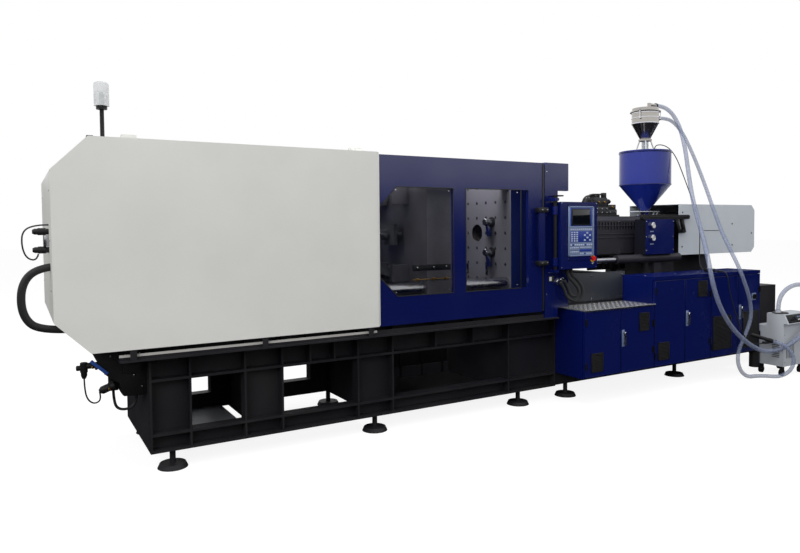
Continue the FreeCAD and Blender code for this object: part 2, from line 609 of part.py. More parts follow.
def ejector_parts():
    """Ejector cylinder and plate between the moving platen's lugs."""
    node("ejector_cylinder", bar("x", MOVING_BACK + " - ejector_length", "0", "axis_height",
                                 "ejector_radius", "ejector_length"))
    left = MOVING_BACK + " - ejector_gap - ejector_plate"
    plate_block = block(left, "-ejector_half", "axis_height - ejector_half * 0.75",
                        "ejector_plate", "2 * ejector_half", "ejector_half * 1.5")
    hole = bar("x", left, "0", "axis_height", "ejector_radius + 0.1", "ejector_plate")
    rods = [bar("x", left + " + ejector_plate", "%d * ejector_rod_y" % sign, "axis_height",
                "ejector_rod", "ejector_gap + moving_thickness - 20") for sign in (-1, 1)]
    node("ejector_plate", fuse(cut(plate_block, hole), *rods))


# ---------------------------------------------------------------- guarding

def hood():
    """The folded hood over the toggle: cut corners at its free end, open below and to the right."""
    length = "hood_left - hood_right"
    tall = "hood_top - hood_bottom"
    outer = plate("XZ_Plane",
                  [("0", "hood_low_chamfer"), ("hood_low_chamfer", "0"), (length, "0"), (length, tall),
                   ("hood_top_chamfer", tall), ("0", "%s - hood_top_chamfer" % tall)],
                  "2 * hood_half", "-hood_left", "-hood_half", "hood_bottom")
    inner = plate("XZ_Plane",
                  [("sheet", "hood_low_chamfer + sheet * 0.42"),
                   ("hood_low_chamfer + sheet * 1.42", "0"), (length, "0"), (length, tall + " - sheet"),
                   ("hood_top_chamfer + sheet * 0.42", tall + " - sheet"),
                   ("sheet", "%s - hood_top_chamfer - sheet * 0.42" % tall)],
                  "2 * (hood_half - sheet)", "-hood_left", "-hood_half + sheet", "hood_bottom")
    shell = cut(outer, inner)
    returns = [block("-hood_right - sheet", side(sign, "hood_half - hood_return", "hood_half - sheet"),
                     "hood_bottom", "sheet", "hood_return - sheet", tall + " - sheet")
               for sign in (-1, 1)]
    boxes = [block(x, "-beacon_y - hood_box_width / 2", "hood_top", "hood_box_length",
                   "hood_box_width", "hood_box_height")
             for x in ("-hood_right - hood_box_length - 20", "-beacon_x + 110")]
    passages = [bar("x", "-hood_left", "-loop_y", level, "loop_radius + hose_fit", "hood_low_chamfer")
                for level in ("loop_top", "loop_low")]
    node("hood", cut(fuse(shell, *(returns + boxes)), *passages))


def door_rails():
    """Shelves from the bed out to the door line, with running rails, hood posts and top guides."""
    length = "rail_left + panel_waist"
    parts = []
    for sign in (-1, 1):
        shelf = block("-rail_left", side(sign, "bed_half", "hood_half"), "rail_bottom", length,
                      "hood_half - bed_half", "rail_shelf")
        rail = block("-rail_left", side(sign, "door_out - (door_thickness + rail_width) / 2",
                                        "door_out - (door_thickness - rail_width) / 2"),
                     "rail_bottom + rail_shelf", length, "rail_width", "rail_height")
        posts = [block(x, side(sign, "hood_half - sheet", "hood_half"), "rail_bottom + rail_shelf",
                       "post_width", "sheet", "hood_bottom - rail_bottom - rail_shelf")
                 for x in ("-rail_left + 60", "-(rail_left + hood_right) / 2", "-hood_right - 90")]
        guide = block("-hood_right - 400", side(sign, "door_out - door_thickness - 42",
                                                "door_out - door_thickness - 2"),
                      "top_rail_bottom", "hood_right + 400 + panel_left", "40", "top_rail_height")
        hanger = block("-hood_right - 400", side(sign, "door_out - door_thickness - 42",
                                                 "door_out - door_thickness - 2"),
                       "top_rail_bottom + top_rail_height", "300", "40",
                       "hood_top - sheet - top_rail_bottom - top_rail_height")
        parts += [fuse(shelf, rail, *posts), fuse(guide, hanger)]
    node("door_rails", group(*parts))


def window_outline(key, lap, left_edge):
    """A pane's outline in the door: the first window has cut corners on its left."""
    left = "%s - pane_%s_left - (%s)" % (left_edge, key, lap)
    right = "%s - pane_%s_right + (%s)" % (left_edge, key, lap)
    low, high = "pane_bottom - door_bottom - (%s)" % lap, "pane_top - door_bottom + (%s)" % lap
    if key == "b":
        right = "%s + pane_b_right + (%s)" % (left_edge, lap)
        return rectangle(left, low, right, high)
    corner = "pane_chamfer"
    return [(left, "%s + %s" % (low, corner)), ("%s + %s" % (left, corner), low), (right, low),
            (right, high), ("%s + %s" % (left, corner), high), (left, "%s - %s" % (high, corner))]


def safety_door(sign):
    """A sliding door frame and its two panes."""
    outline = rectangle("0", "0", "door_left + door_right", "door_top - door_bottom")
    y = side(sign, "door_out - door_thickness", "door_out")
    frame = plate("XZ_Plane", outline, "door_thickness", "-door_left", y, "door_bottom",
                  [window_outline("a", "0", "door_left"), window_outline("b", "0", "door_left")])
    pane_y = side(sign, "door_out - door_thickness - pane", "door_out - door_thickness")
    panes = [plate("XZ_Plane", window_outline(key, "pane_lap", "door_left"), "pane", "-door_left",
                   pane_y, "door_bottom") for key in "ab"]
    return frame, group(*panes)


def safety_doors():
    """The door on each side; the rear one is kept together with its panes."""
    frame, panes = safety_door(-1)
    node("front_safety_door", frame)
    node("front_door_windows", panes)
    node("rear_safety_door", group(*safety_door(1)))


def door_handle():
    """A plate handle on two brackets."""
    parts = [block("handle_right - handle_width", "-(door_out + handle_out)", "handle_bottom",
                   "handle_width", "handle_plate", "handle_top - handle_bottom")]
    for level in ("handle_bottom + 6", "handle_top - handle_bracket - 6"):
        parts.append(block("handle_right - handle_width * 0.7", "-(door_out + handle_out - handle_plate)",
                           level, "handle_width * 0.6", "handle_out - handle_plate", "handle_bracket"))
    node("front_door_handle", fuse(*parts))


def fixed_panels():
    """The stepped panels to the right of the doors, with a return towards the platen."""
    outline = [("0", "0"), ("panel_right - panel_left", "0"),
               ("panel_right - panel_left", "panel_low_top - panel_bottom"),
               ("panel_waist - panel_left", "panel_low_top - panel_bottom"),
               ("panel_waist - panel_left", "panel_top_low - panel_bottom"),
               ("panel_right - panel_left", "panel_top_low - panel_bottom"),
               ("panel_right - panel_left", "panel_top - panel_bottom"),
               ("0", "panel_top - panel_bottom")]
    for prefix, sign in (("front", -1), ("rear", 1)):
        face = plate("XZ_Plane", outline, "panel_depth", "panel_left",
                     side(sign, "door_out - panel_depth", "door_out"), "panel_bottom")
        wall = block("panel_left", side(sign, "platen_half_width", "door_out - panel_depth"),
                     "panel_bottom + 50", "sheet", "door_out - panel_depth - platen_half_width",
                     "panel_top - panel_bottom - 50")
        foot = block("panel_left", side(sign, "door_out - panel_depth", "door_out"),
                     "rail_bottom + rail_shelf", "panel_waist - panel_left", "panel_depth",
                     "panel_bottom - rail_bottom - rail_shelf")
        rail_gap = block("panel_left - 1", side(sign, "door_out - (door_thickness + rail_width) / 2",
                                                "door_out - (door_thickness - rail_width) / 2"),
                         "rail_bottom + rail_shelf", "panel_waist - panel_left + 2", "rail_width",
                         "rail_height")
        parts = [face, wall, foot]
        if sign < 0:
            for level in ("hmi_bottom - post_arm - 3", "hmi_bottom + hmi_height + 9"):
                arm = block("post_x - post_radius - 8", "-(post_out + post_radius + 8)", level,
                            "2 * post_radius + 16", "post_out + post_radius + 8 - door_out", "post_arm")
                parts.append(arm)
            joined = fuse(*parts)
            bore = bar("z", "post_x", "-post_out", "post_bottom", "post_radius",
                       "post_top - post_bottom")
            node("front_fixed_panel", cut(joined, rail_gap, bore))
        else:
            node("rear_fixed_panel", cut(fuse(*parts), rail_gap))


# ---------------------------------------------------------------- control panel and beacon

def control_panel():
    """The operator's panel on its hinge post, with screen and emergency stop."""
    post = bar("z", "post_x", "-post_out", "post_bottom", "post_radius", "post_top - post_bottom")
    node("hinge_post", post)
    box = block("hmi_left", "-hmi_front", "hmi_bottom", "hmi_width", "hmi_depth", "hmi_height")
    frame = block("screen_left - 26", "-hmi_front - bezel_proud", "screen_bottom - 300",
                  "screen_width + 52", "bezel_proud", "screen_height + 330")
    knuckles = []
    for level in ("hmi_bottom + 30", "hmi_bottom + hmi_height - 110"):
        ring = bar("z", "post_x", "-post_out", level, "post_radius + 9", "70")
        strap = block("post_x", "-post_out - 10", level, "hmi_left - post_x", "20", "70")
        knuckles += [ring, strap]
    hinge_bore = bar("z", "post_x", "-post_out", "hmi_bottom", "post_radius + tie_fit", "hmi_height")
    pocket = bar("y", "estop_x", "-hmi_front", "estop_z", "estop_stem + tie_fit", "estop_bore_depth + 10")
    recess = block("screen_left", "-hmi_front - bezel_proud", "screen_bottom", "screen_width",
                   "bezel_proud", "screen_height")
    node("control_panel", cut(fuse(box, frame, *knuckles), hinge_bore, pocket, recess))
    node("panel_screen", block("screen_left", "-hmi_front - bezel_proud + screen_proud", "screen_bottom",
                               "screen_width", "bezel_proud - screen_proud", "screen_height"))
    cap = bar("y", "estop_x", "-hmi_front - estop_stand", "estop_z", "estop_radius", "estop_cap")
    stem = bar("y", "estop_x", "-hmi_front - estop_stand + estop_cap", "estop_z", "estop_stem",
               "estop_stand - estop_cap + estop_bore_depth")
    node("emergency_stop", fuse(cap, stem))


def beacon():
    """A lamp on a post on the hood."""
    post = bar("z", "-beacon_x", "-beacon_y", "hood_top", "beacon_post", "beacon_base - hood_top")
    foot = bar("z", "-beacon_x", "-beacon_y", "hood_top", "beacon_post * 2.4", "8")
    collar = bar("z", "-beacon_x", "-beacon_y", "beacon_base", "beacon_collar", "beacon_collar_height")
    node("beacon_post", fuse(post, foot, collar))
    node("beacon_lens", turned(
        [("0", "0"), ("beacon_lens", "0"), ("beacon_lens", "beacon_lens_height - 24"),
         ("beacon_lens * 0.72", "beacon_lens_height"), ("0", "beacon_lens_height")],
        "-beacon_x", "-beacon_y", "beacon_base + beacon_collar_height"))


# ---------------------------------------------------------------- cabinets

def cabinet(left, right, top, seams):
    """A sheet cabinet open at the front, with uprights behind the seams of its leaves."""
    back = "inj_bed_half"
    depth = "cabinet_front - leaf - (%s)" % back
    outer = block(left, "-(cabinet_front - leaf)", "cabinet_bottom", "(%s) - (%s)" % (right, left),
                  depth, "(%s) - cabinet_bottom" % top)
    inner = block("(%s) + cabinet_sheet" % left, "-(cabinet_front - leaf)",
                  "cabinet_bottom + cabinet_sheet", "(%s) - (%s) - 2 * cabinet_sheet" % (right, left),
                  "(%s) - cabinet_sheet" % depth, "(%s) - cabinet_bottom - 2 * cabinet_sheet" % top)
    uprights = [block("(%s) - 12" % seam, "-(cabinet_front - leaf)", "cabinet_bottom + cabinet_sheet",
                      "24", "16", "(%s) - cabinet_bottom - 2 * cabinet_sheet" % top) for seam in seams]
    return fuse(cut(outer, inner), *uprights)


def cabinets():
    """The low step cabinet with its tread plate, and the tall control cabinet."""
    node("step_cabinet", cabinet("step_left", "step_right", "step_top", ["step_seam"]))
    node("tread_plate", block("step_left", "-(cabinet_front + 12)", "step_top", "step_right - step_left",
                              "cabinet_front + 12 - inj_bed_half", "tread_plate"))
    tall = cabinet("step_right", "cabinet_right", "cabinet_top",
                   ["seam_a", "seam_b", "seam_c"])
    rim = block("step_right", "-cabinet_front", "cabinet_top - cabinet_rim",
                "cabinet_right - step_right", "leaf", "cabinet_rim")
    node("control_cabinet", fuse(tall, rim))


def louvre(left, bottom, width, count):
    """The openings of a vertical grille of level slots."""
    return [block(left, "-cabinet_front", "(%s) + %d * louvre_pitch" % (bottom, index), width, "leaf",
                  "louvre_slot") for index in range(count)]


def door_leaf(name, left, right, top, hinge_right, grilles):
    """One hinged leaf with its grilles; the leaf that opens first, hinged on the right, has the handle."""
    first = "(%s) + leaf_gap" % left
    width = "(%s) - (%s) - 2 * leaf_gap" % (right, left)
    bottom = "cabinet_bottom + leaf_margin"
    panel = block(first, "-cabinet_front", bottom, width, "leaf", "(%s) - (%s) - leaf_gap" % (top, bottom))
    slots = []
    for grille in grilles:
        slots += louvre(*grille)
    rebate_x = "(%s) - leaf_gap - rebate_width" % right if hinge_right else first
    rebate = block(rebate_x, "-(cabinet_front - leaf + rebate_depth)", bottom, "rebate_width", "rebate_depth",
                   "(%s) - (%s) - leaf_gap" % (top, bottom))
    body = cut(panel, rebate, *slots)
    handle = []
    if hinge_right:
        handle_x = "(%s) + leaf_gap + leaf_handle_in" % left
        low_end = "(%s) * 0.5 + (%s) * 0.5 + leaf_handle_up - leaf_handle_length * 0.5" % (bottom, top)
        handle.append(bar("z", handle_x, "-(cabinet_front + 26)", low_end, "leaf_handle_radius",
                          "leaf_handle_length"))
        handle += [bar("y", handle_x, "-(cabinet_front + 26)", "(%s) + %s" % (low_end, share), "6", "26")
                   for share in ("12", "leaf_handle_length - 12")]
    knuckle_x = ("(%s) - leaf_gap - hinge_radius" % right if hinge_right
                 else "(%s) + leaf_gap + hinge_radius" % left)
    strap_x = "(%s) - leaf_gap - 30" % right if hinge_right else first
    shift = "hinge_length + 8" if hinge_right else "0"
    hinges = []
    for level in ("(%s) + 70 + %s" % (bottom, shift), "(%s) - 70 - hinge_length - (%s)" % (top, shift)):
        hinges.append(bar("z", knuckle_x, "-(cabinet_front + hinge_radius)", level, "hinge_radius",
                          "hinge_length"))
        hinges.append(block(strap_x, "-(cabinet_front + hinge_strap)", level, "30", "hinge_strap",
                            "hinge_length"))
    node(name, fuse(body, *handle, *hinges))


def main_switch():
    """The rotary main switch on the last leaf: a disc with a grip across it."""
    disc = bar("y", "switch_x", "-(cabinet_front + 0.5 + 14)", "switch_z", "switch_radius", "14")
    grip = block("switch_x - 6", "-(cabinet_front + 0.5 + 34)", "switch_z - switch_radius * 0.9", "12",
                 "20", "switch_radius * 1.8")
    node("main_switch", fuse(disc, grip))


def cabinet_doors():
    """Six leaves, hung in pairs."""
    low = "cabinet_bottom"
    door_leaf("step_left_door", "step_left", "step_seam", "step_top", False,
              [("step_left + 78", low + " + 53", "150", 10)])
    door_leaf("step_right_door", "step_seam", "step_right", "step_top", True,
              [("step_right - 213", low + " + 370", "138", 10)])
    top = "cabinet_top - cabinet_rim"
    door_leaf("cabinet_door_a", "step_right", "seam_a", top, False,
              [("step_right + 53", low + " + 65", "160", 10)])
    door_leaf("cabinet_door_b", "seam_a", "seam_b", top, True,
              [("seam_b - 211", low + " + 639", "144", 9)])
    door_leaf("cabinet_door_c", "seam_b", "seam_c", top, False,
              [("seam_b + 30", low + " + 79", "300", 20)])
    door_leaf("cabinet_door_d", "seam_c", "cabinet_right", top, True,
              [("seam_c + 80", low + " + 58", "280", 22)])


# ---------------------------------------------------------------- injection unit

def carriage():
    """The carriage: runners on the slides, base, throat block and rear block."""
    plate_z = "inj_bed_top + slide_height + runner_height"
    base = block("carriage_left", "-carriage_half", plate_z, "carriage_right - carriage_left",
                 "2 * carriage_half", "carriage_plate")
    parts = [base]
    for x in ("carriage_left + 40", "carriage_right - runner_length - 40"):
        for sign in (-1, 1):
            shoe = block(x, side(sign, "slide_half_y - runner_width / 2", "slide_half_y + runner_width / 2"),
                         "inj_bed_top + 12", "runner_length", "runner_width",
                         "slide_height + runner_height - 12")
            groove = block(x, side(sign, "slide_half_y - slide_width / 2 - runner_fit",
                                   "slide_half_y + slide_width / 2 + runner_fit"),
                           "inj_bed_top", "runner_length", "slide_width + 2 * runner_fit",
                           "slide_height + runner_fit")
            parts.append(cut(shoe, groove))
    top_z = plate_z + " + carriage_plate"
    throat = block("throat_x - throat_half * 1.6", "-throat_half * 1.7", top_z, "throat_half * 3.2",
                   "throat_half * 3.4", "throat_top - (%s)" % top_z)
    rear = block("rear_block_x", "-throat_half * 1.9", top_z, "rear_block", "throat_half * 3.8",
                 "axis_height + 200 - (%s)" % top_z)
    parts += [throat, rear]
    bore = bar("x", "throat_x - throat_half * 1.6", "0", "axis_height", "barrel_radius",
               "throat_half * 3.2")
    neck = bar("z", "throat_x", "0", "axis_height", "hopper_neck", "throat_top - axis_height")
    for sign in (-1, 1):
        cylinder = bar("x", "traverse_left", "%d * traverse_half_y" % sign, "axis_height - traverse_drop",
                       "traverse_cyl", "traverse_right - traverse_left")
        bracket = block("carriage_left", side(sign, "carriage_half - 40", "traverse_half_y"),
                        plate_z, "120", "traverse_half_y - carriage_half + 40",
                        "axis_height - traverse_drop - (%s)" % plate_z)
        parts += [cylinder, bracket]
    rods = [bar("x", "traverse_left", "%d * traverse_half_y" % sign, "axis_height - traverse_drop",
                "traverse_rod + tie_fit", "traverse_right - traverse_left - traverse_cap")
            for sign in (-1, 1)]
    node("injection_carriage", cut(fuse(*parts), bore, neck, *rods))
    node("traverse_rods", group(*[
        bar("x", "fixed_thickness - traverse_cap", "%d * traverse_half_y" % sign,
            "axis_height - traverse_drop", "traverse_rod",
            "traverse_rod_end - fixed_thickness + traverse_cap") for sign in (-1, 1)]))


def plasticising_unit():
    """Barrel, nozzle and heater bands."""
    tube = bar("x", "barrel_left", "0", "axis_height", "barrel_radius",
               "throat_x + throat_half * 1.6 - barrel_left")
    head = taper("x", "barrel_left - 90", "0", "axis_height", "nozzle_radius", "barrel_radius * 0.86", "90")
    nozzle = bar("x", "nozzle_tip + nozzle_radius", "0", "axis_height", "nozzle_radius",
                 "barrel_left - 90 - nozzle_tip - nozzle_radius")
    tip = taper("x", "nozzle_tip", "0", "axis_height", "nozzle_radius * 0.35", "nozzle_radius",
                "nozzle_radius")
    throat = bar("z", "throat_x", "0", "axis_height", "hopper_neck", "barrel_radius + 4")
    node("barrel", cut(fuse(tube, head, nozzle, tip), throat))
    bands = []
    for index in range(int(number("band_count"))):
        x = "band_first + %d * band_pitch" % index
        ring = cut(bar("x", x, "0", "axis_height", "band_radius", "band_width"),
                   bar("x", x, "0", "axis_height", "barrel_radius", "band_width"))
        cap = block(x + " + band_width * 0.3", "-30", "axis_height + barrel_radius + 6",
                    "band_width * 0.4", "60", "band_radius - barrel_radius + 22")
        bands.append(fuse(ring, cap))
    node("heater_bands", group(*bands))


def barrel_guard():
    """The folded cover over the barrel, slotted along its front."""
    half, low, up = "guard_half", "guard_low", "guard_up"
    bevel = "guard_half * 0.22"
    length = "throat_x - throat_half * 1.6 - guard_left"
    outer = plate("YZ_Plane", [("-" + half, "-" + low), (half, "-" + low), (half, up + " - " + bevel),
                               (half + " - " + bevel, up), ("-%s + %s" % (half, bevel), up),
                               ("-" + half, up + " - " + bevel)],
                  length, "guard_left", "0", "axis_height")
    inner = plate("YZ_Plane", [("-%s + sheet" % half, "-%s" % low), ("%s - sheet" % half, "-%s" % low),
                               ("%s - sheet" % half, "%s - %s - sheet * 0.42" % (up, bevel)),
                               ("%s - %s - sheet * 0.42" % (half, bevel), up + " - sheet"),
                               ("-%s + %s + sheet * 0.42" % (half, bevel), up + " - sheet"),
                               ("-%s + sheet" % half, "%s - %s - sheet * 0.42" % (up, bevel))],
                  length, "guard_left", "0", "axis_height")
    slots = [block("guard_first + %d * guard_pitch" % index, "-guard_half", "axis_height + guard_up * 0.1",
                   "guard_slot", "sheet", "guard_up * 0.5")
             for index in range(int(number("guard_slots")))]
    node("barrel_guard", cut(cut(outer, inner), *slots))


def gauge_box():
    """The valve box in front of the throat with its two gauges."""
    back = "throat_half * 1.7"
    box = block("gauge_left", "-gauge_out", "axis_height - gauge_low", "gauge_right - gauge_left",
                "gauge_out - (%s)" % back, "gauge_low + gauge_up")
    relief = block("gauge_left", "-(%s) - guard_half * 0.2" % back, "axis_height - gauge_low",
                   "throat_x - throat_half * 1.6 - gauge_left", "guard_half * 0.2", "gauge_low + gauge_up")
    gauges = [bar("y", "gauge_left + 100", "-gauge_out - 22", "axis_height + %s" % level,
                  "gauge_radius", "22") for level in ("55", "-75")]
    node("gauge_box", fuse(cut(box, relief), *gauges))


def cable_arm():
    """The cable tray on the valve box, with its bracket."""
    tray = block("arm_left", "-gauge_out + 8", "axis_height + gauge_up", "arm_right - arm_left",
                 "arm_width", "arm_height")
    trough = block("arm_left", "-gauge_out + 12", "axis_height + gauge_up + 4", "arm_right - arm_left",
                   "arm_width - 8", "arm_height")
    leg = block("gauge_right", "-gauge_out + 8", "axis_height - 40", "90", "4", "gauge_up + 40")
    node("cable_tray", fuse(cut(tray, trough), leg))


def injection_drive():
    """Injection cylinders between the blocks, and the screw motor behind."""
    gap_left = "throat_x + throat_half * 1.6"
    parts = [bar("x", gap_left, "%d * throat_half" % sign, "axis_height", "cyl_radius",
                 "rear_block_x - (%s)" % gap_left) for sign in (-1, 1)]
    shaft = bar("x", gap_left, "0", "axis_height", "cyl_radius * 0.6",
                "rear_block_x - (%s)" % gap_left)
    motor = bar("x", "rear_block_x + rear_block", "0", "axis_height", "motor_radius", "motor_length")
    hub = bar("x", "rear_block_x + rear_block + motor_length", "0", "axis_height", "motor_radius * 0.7",
              "hub_length")
    node("injection_drive", group(*parts, shaft, fuse(motor, hub)))


def injection_cover():
    """The folded cover over the injection drive, with cut corners."""
    low, up, half, corner = "cover_low", "cover_up", "cover_half", "cover_chamfer"
    length = "cover_right - cover_left"
    tall = "%s + %s" % (low, up)
    outer = plate("XZ_Plane",
                  [("0", "0"), ("%s - %s" % (length, corner), "0"), (length, corner),
                   (length, "%s - %s" % (tall, corner)), ("%s - %s" % (length, corner), tall),
                   ("0", tall)],
                  "2 * cover_half", "cover_left", "-" + half, "axis_height - " + low)
    inner = plate("XZ_Plane",
                  [("0", "0"), ("%s - %s - sheet * 1.42" % (length, corner), "0"),
                   ("%s - sheet" % length, "%s + sheet * 0.42" % corner),
                   ("%s - sheet" % length, "%s - %s - sheet * 0.42" % (tall, corner)),
                   ("%s - %s - sheet * 0.42" % (length, corner), "%s - sheet" % tall),
                   ("0", "%s - sheet" % tall)],
                  "2 * (%s - sheet)" % half, "cover_left", "-%s + sheet" % half, "axis_height - " + low)
    node("injection_cover", cut(outer, inner))


# ---------------------------------------------------------------- hopper and loader

def hopper():
    """The sheet hopper on its flange, open at the top and at the neck."""
    wall = "hopper_wall"
    base = "throat_top"
    profile = [("hopper_neck - %s" % wall, "0"), ("hopper_flange_radius", "0"),
               ("hopper_flange_radius", "hopper_flange"), ("hopper_neck", "hopper_flange"),
               ("hopper_neck", "hopper_cone_bottom - %s" % base),
               ("hopper_radius", "hopper_cone_top - %s" % base),
               ("hopper_radius", "hopper_top - %s" % base),
               ("hopper_radius - %s" % wall, "hopper_top - %s" % base),
               ("hopper_radius - %s" % wall, "hopper_cone_top - %s" % base),
               ("hopper_neck - %s" % wall, "hopper_cone_bottom - %s" % base)]
    shell = turned(profile, "throat_x", "0", base)
    lid = bar("z", "throat_x", "0", "hopper_top", "hopper_radius + 4", "lid_thickness")
    seat = bar("z", "throat_x", "0", "hopper_top + lid_thickness", "glass_radius + 22",
               "glass_bottom - hopper_top - lid_thickness")
    hole = bar("z", "throat_x", "0", "hopper_top", "glass_radius - 6", "glass_bottom - hopper_top")
    node("hopper", group(shell, cut(fuse(lid, seat), hole)))
    glass = cut(bar("z", "throat_x", "0", "glass_bottom", "glass_radius", "glass_top - glass_bottom"),
                bar("z", "throat_x", "0", "glass_bottom", "glass_radius - 4", "glass_top - glass_bottom"))
    node("sight_glass", glass)


def receiver():
    """The steel receiver: outlet cone, body with a side port, and lid with an elbow."""
    wall = "hopper_wall"
    base = "glass_top"
    profile = [("glass_radius - 6", "0"), ("receiver_flange + 22", "0"),
               ("receiver_flange + 22", "receiver_bottom - %s" % base),
               ("receiver_outlet", "receiver_bottom - %s" % base),
               ("receiver_radius", "receiver_cone_top - %s" % base),
               ("receiver_radius", "receiver_top - %s" % base),
               ("receiver_radius - %s" % wall, "receiver_top - %s" % base),
               ("receiver_radius - %s" % wall, "receiver_cone_top - %s" % base),
               ("glass_radius - 6", "receiver_bottom - %s" % base)]
    body = turned(profile, "throat_x", "0", base)
    pipe = bar("x", "throat_x + receiver_radius - 6", "0", "port_z", "port_radius", "pipe_reach + 6")
    bore = bar("x", "throat_x + receiver_radius - 12", "0", "port_z", "port_radius - 3",
               "pipe_reach + 12")
    shell = cut(fuse(body, pipe), bore)
    band = bar("z", "throat_x", "0", "receiver_top", "receiver_radius + 6", "12")
    top = bar("z", "throat_x", "0", "receiver_top + 12", "receiver_radius - 4", "receiver_lid")
    riser = bar("z", "elbow_x", "0", "receiver_top + 12 + receiver_lid", "port_radius", "elbow_height")
    knee = bar("x", "elbow_x", "0", "receiver_top + 12 + receiver_lid + elbow_height - port_radius",
               "port_radius", "pipe_reach + port_radius - 1")
    node("receiver", group(shell, fuse(band, top, riser, knee)))


def loader_unit():
    """The blower unit on casters, with a sloped panel and a filter pot."""
    length = "unit_right - unit_left"
    main = block("unit_left", "-unit_front", "unit_bottom", length, "unit_front - unit_split",
                 "unit_top - unit_bottom")
    low = block("unit_left", "-unit_split", "unit_bottom", length, "unit_split - unit_back",
                "unit_low_top - unit_bottom")
    slope = plate("YZ_Plane", [("0", "0"), ("0", "unit_top - unit_panel_bottom"),
                               ("-unit_panel_out", "0")], length, "unit_left", "-unit_front",
                  "unit_panel_bottom")
    port = cut(bar("z", "unit_port_x", "-unit_port_out", "unit_top",
                   "vacuum_hose_radius + hose_fit + 6", "unit_port_height"),
               bar("z", "unit_port_x", "-unit_port_out", "unit_top", "vacuum_hose_radius + hose_fit",
                   "unit_port_height"))
    arm_x = str(LANCE_REST[0] - 30)
    arm = block(arm_x, str(LANCE_REST[1] - 15), "%d - lance_radius - lance_arm - 8" % LANCE_REST[2],
                "unit_left - (%s)" % arm_x, "30", "lance_arm")
    tank = bar("z", "unit_left - tank_radius + 6", "-(unit_split + unit_back) / 2 + 40",
               "cabinet_bottom - tank_gap - tank_height", "tank_radius", "tank_height")
    parts = [main, low, slope, port, tank, arm]
    for x in ("unit_left + 50", "unit_right - 50"):
        for y in ("-unit_front + 45", "-unit_back - 45"):
            wheel = bar("y", x, "(%s) - caster_width / 2" % y, "caster_radius", "caster_radius",
                        "caster_width")
            fork = block("(%s) - 8" % x, "(%s) - caster_width / 2 - 4" % y, "caster_radius", "30",
                         "caster_width + 8", "unit_bottom - caster_radius")
            parts.append(fuse(wheel, fork))
    node("loader_unit", fuse(*parts))


# ---------------------------------------------------------------- hydraulics and hoses

def path_wire(points):
    """Straight runs joined by tangent arcs, each as large as its two runs allow."""
    spots = [FreeCAD.Vector(*point) for point in points]
    edges, radii = [], []
    start = spots[0]
    length = 0.0
    for before, corner, after in zip(spots, spots[1:], spots[2:]):
        into, out = corner - before, after - corner
        turn = into.getAngle(out)
        reach = 0.45 * min(into.Length, out.Length)
        radii.append(reach / math.tan(turn / 2))
        into.normalize()
        out.normalize()
        first, last = corner - into * reach, corner + out * reach
        bisector = (out - into)
        bisector.normalize()
        middle = corner + bisector * (radii[-1] / math.cos(turn / 2) - radii[-1])
        edges.append(Part.LineSegment(start, first).toShape())
        edges.append(Part.Arc(first, middle, last).toShape())
        length += (first - start).Length + radii[-1] * turn
        start = last
    edges.append(Part.LineSegment(start, spots[-1]).toShape())
    length += (spots[-1] - start).Length
    return Part.Wire(edges), length, radii


def tube_along(points, radius):
    """A round tube along a route, checked against its section times its length."""
    wire, length, radii = path_wire(points)
    start = FreeCAD.Vector(*points[0])
    towards = FreeCAD.Vector(*points[1]) - start
    circle = Part.Wire(Part.Circle(start, towards, radius).toShape())
    solid = wire.makePipeShell([circle], True, False)
    expected = math.pi * radius ** 2 * length
    if abs(solid.Volume / expected - 1) > 0.01:
        raise ValueError("tube volume %.0f is not %.0f" % (solid.Volume, expected))
    print("tube length %.0f mm, least bend %.0f mm of radius %.0f mm" % (length, min(radii), radius))
    return solid


def shape_node(name, shape):
    """A sub-part whose shape is made directly."""
    feature = doc.addObject("Part::Feature", "Shape")
    feature.Shape = shape
    return node(name, feature)


def world(x, y, z):
    """A point given from the mould face, the centreline and the floor."""
    return (number("mould_face_x") + x, number("axis_y") + y, z)


def suction_lance():
    """The lance at the end of the material hose, resting on the unit's arm."""
    start, end = FreeCAD.Vector(*world(*LANCE_FRONT)), FreeCAD.Vector(*world(*LANCE_BACK))
    radius = number("lance_radius")
    tube = Part.makeCylinder(radius, (end - start).Length, start, end - start)
    collar = Part.makeCylinder(radius + 3, 40, start, end - start)
    shape_node("suction_lance", tube.fuse(collar).removeSplitter())


VACUUM_ROUTE = [
    (2491, 0, 2950), (2610, -8, 2952), (2712, -38, 2898), (2762, -85, 2790), (2765, -145, 2650),
    (2712, -240, 2430), (2600, -365, 2140), (2500, -490, 1870), (2425, -610, 1650),
    (2303, -770, 1431), (2190, -905, 1220), (2181, -955, 1014), (2273, -968, 784),
    (2435, -990, 563), (2640, -1030, 390), (2850, -1065, 290), (3050, -1125, 292),
    (3250, -1190, 392), (3532, -1208, 555), (3590, -1230, 664), (3590, -1230, 790),
    (3532, -1204, 899), (3433, -1160, 962), (3317, -1109, 962), (3218, -1065, 899),
    (3160, -1040, 790), (3160, -1040, 661),
]
MATERIAL_ROUTE = [
    (2552, 0, 2812), (2660, -3, 2820), (2760, -22, 2796), (2832, -60, 2715), (2866, -120, 2600),
    (2878, -250, 2320), (2845, -400, 2020), (2800, -530, 1760), (2745, -670, 1510),
    (2662, -830, 1321), (2648, -932, 1153), (2728, -952, 973), (2820, -952, 783),
    (2831, -950, 603), (2661, -944, 352), (2610, -948, 264), (2610, -953, 162), (2661, -962, 74),
    (2749, -974, 22), (2870, -990, 22), (2954, -1052, 22), (3019, -1138, 22),
    (3069, -1206, 70), (3098, -1244, 154), (3098, -1244, 240), (3070, -1206, 322),
    (3030, -1154, 368), (2984, -1092, 389),
]
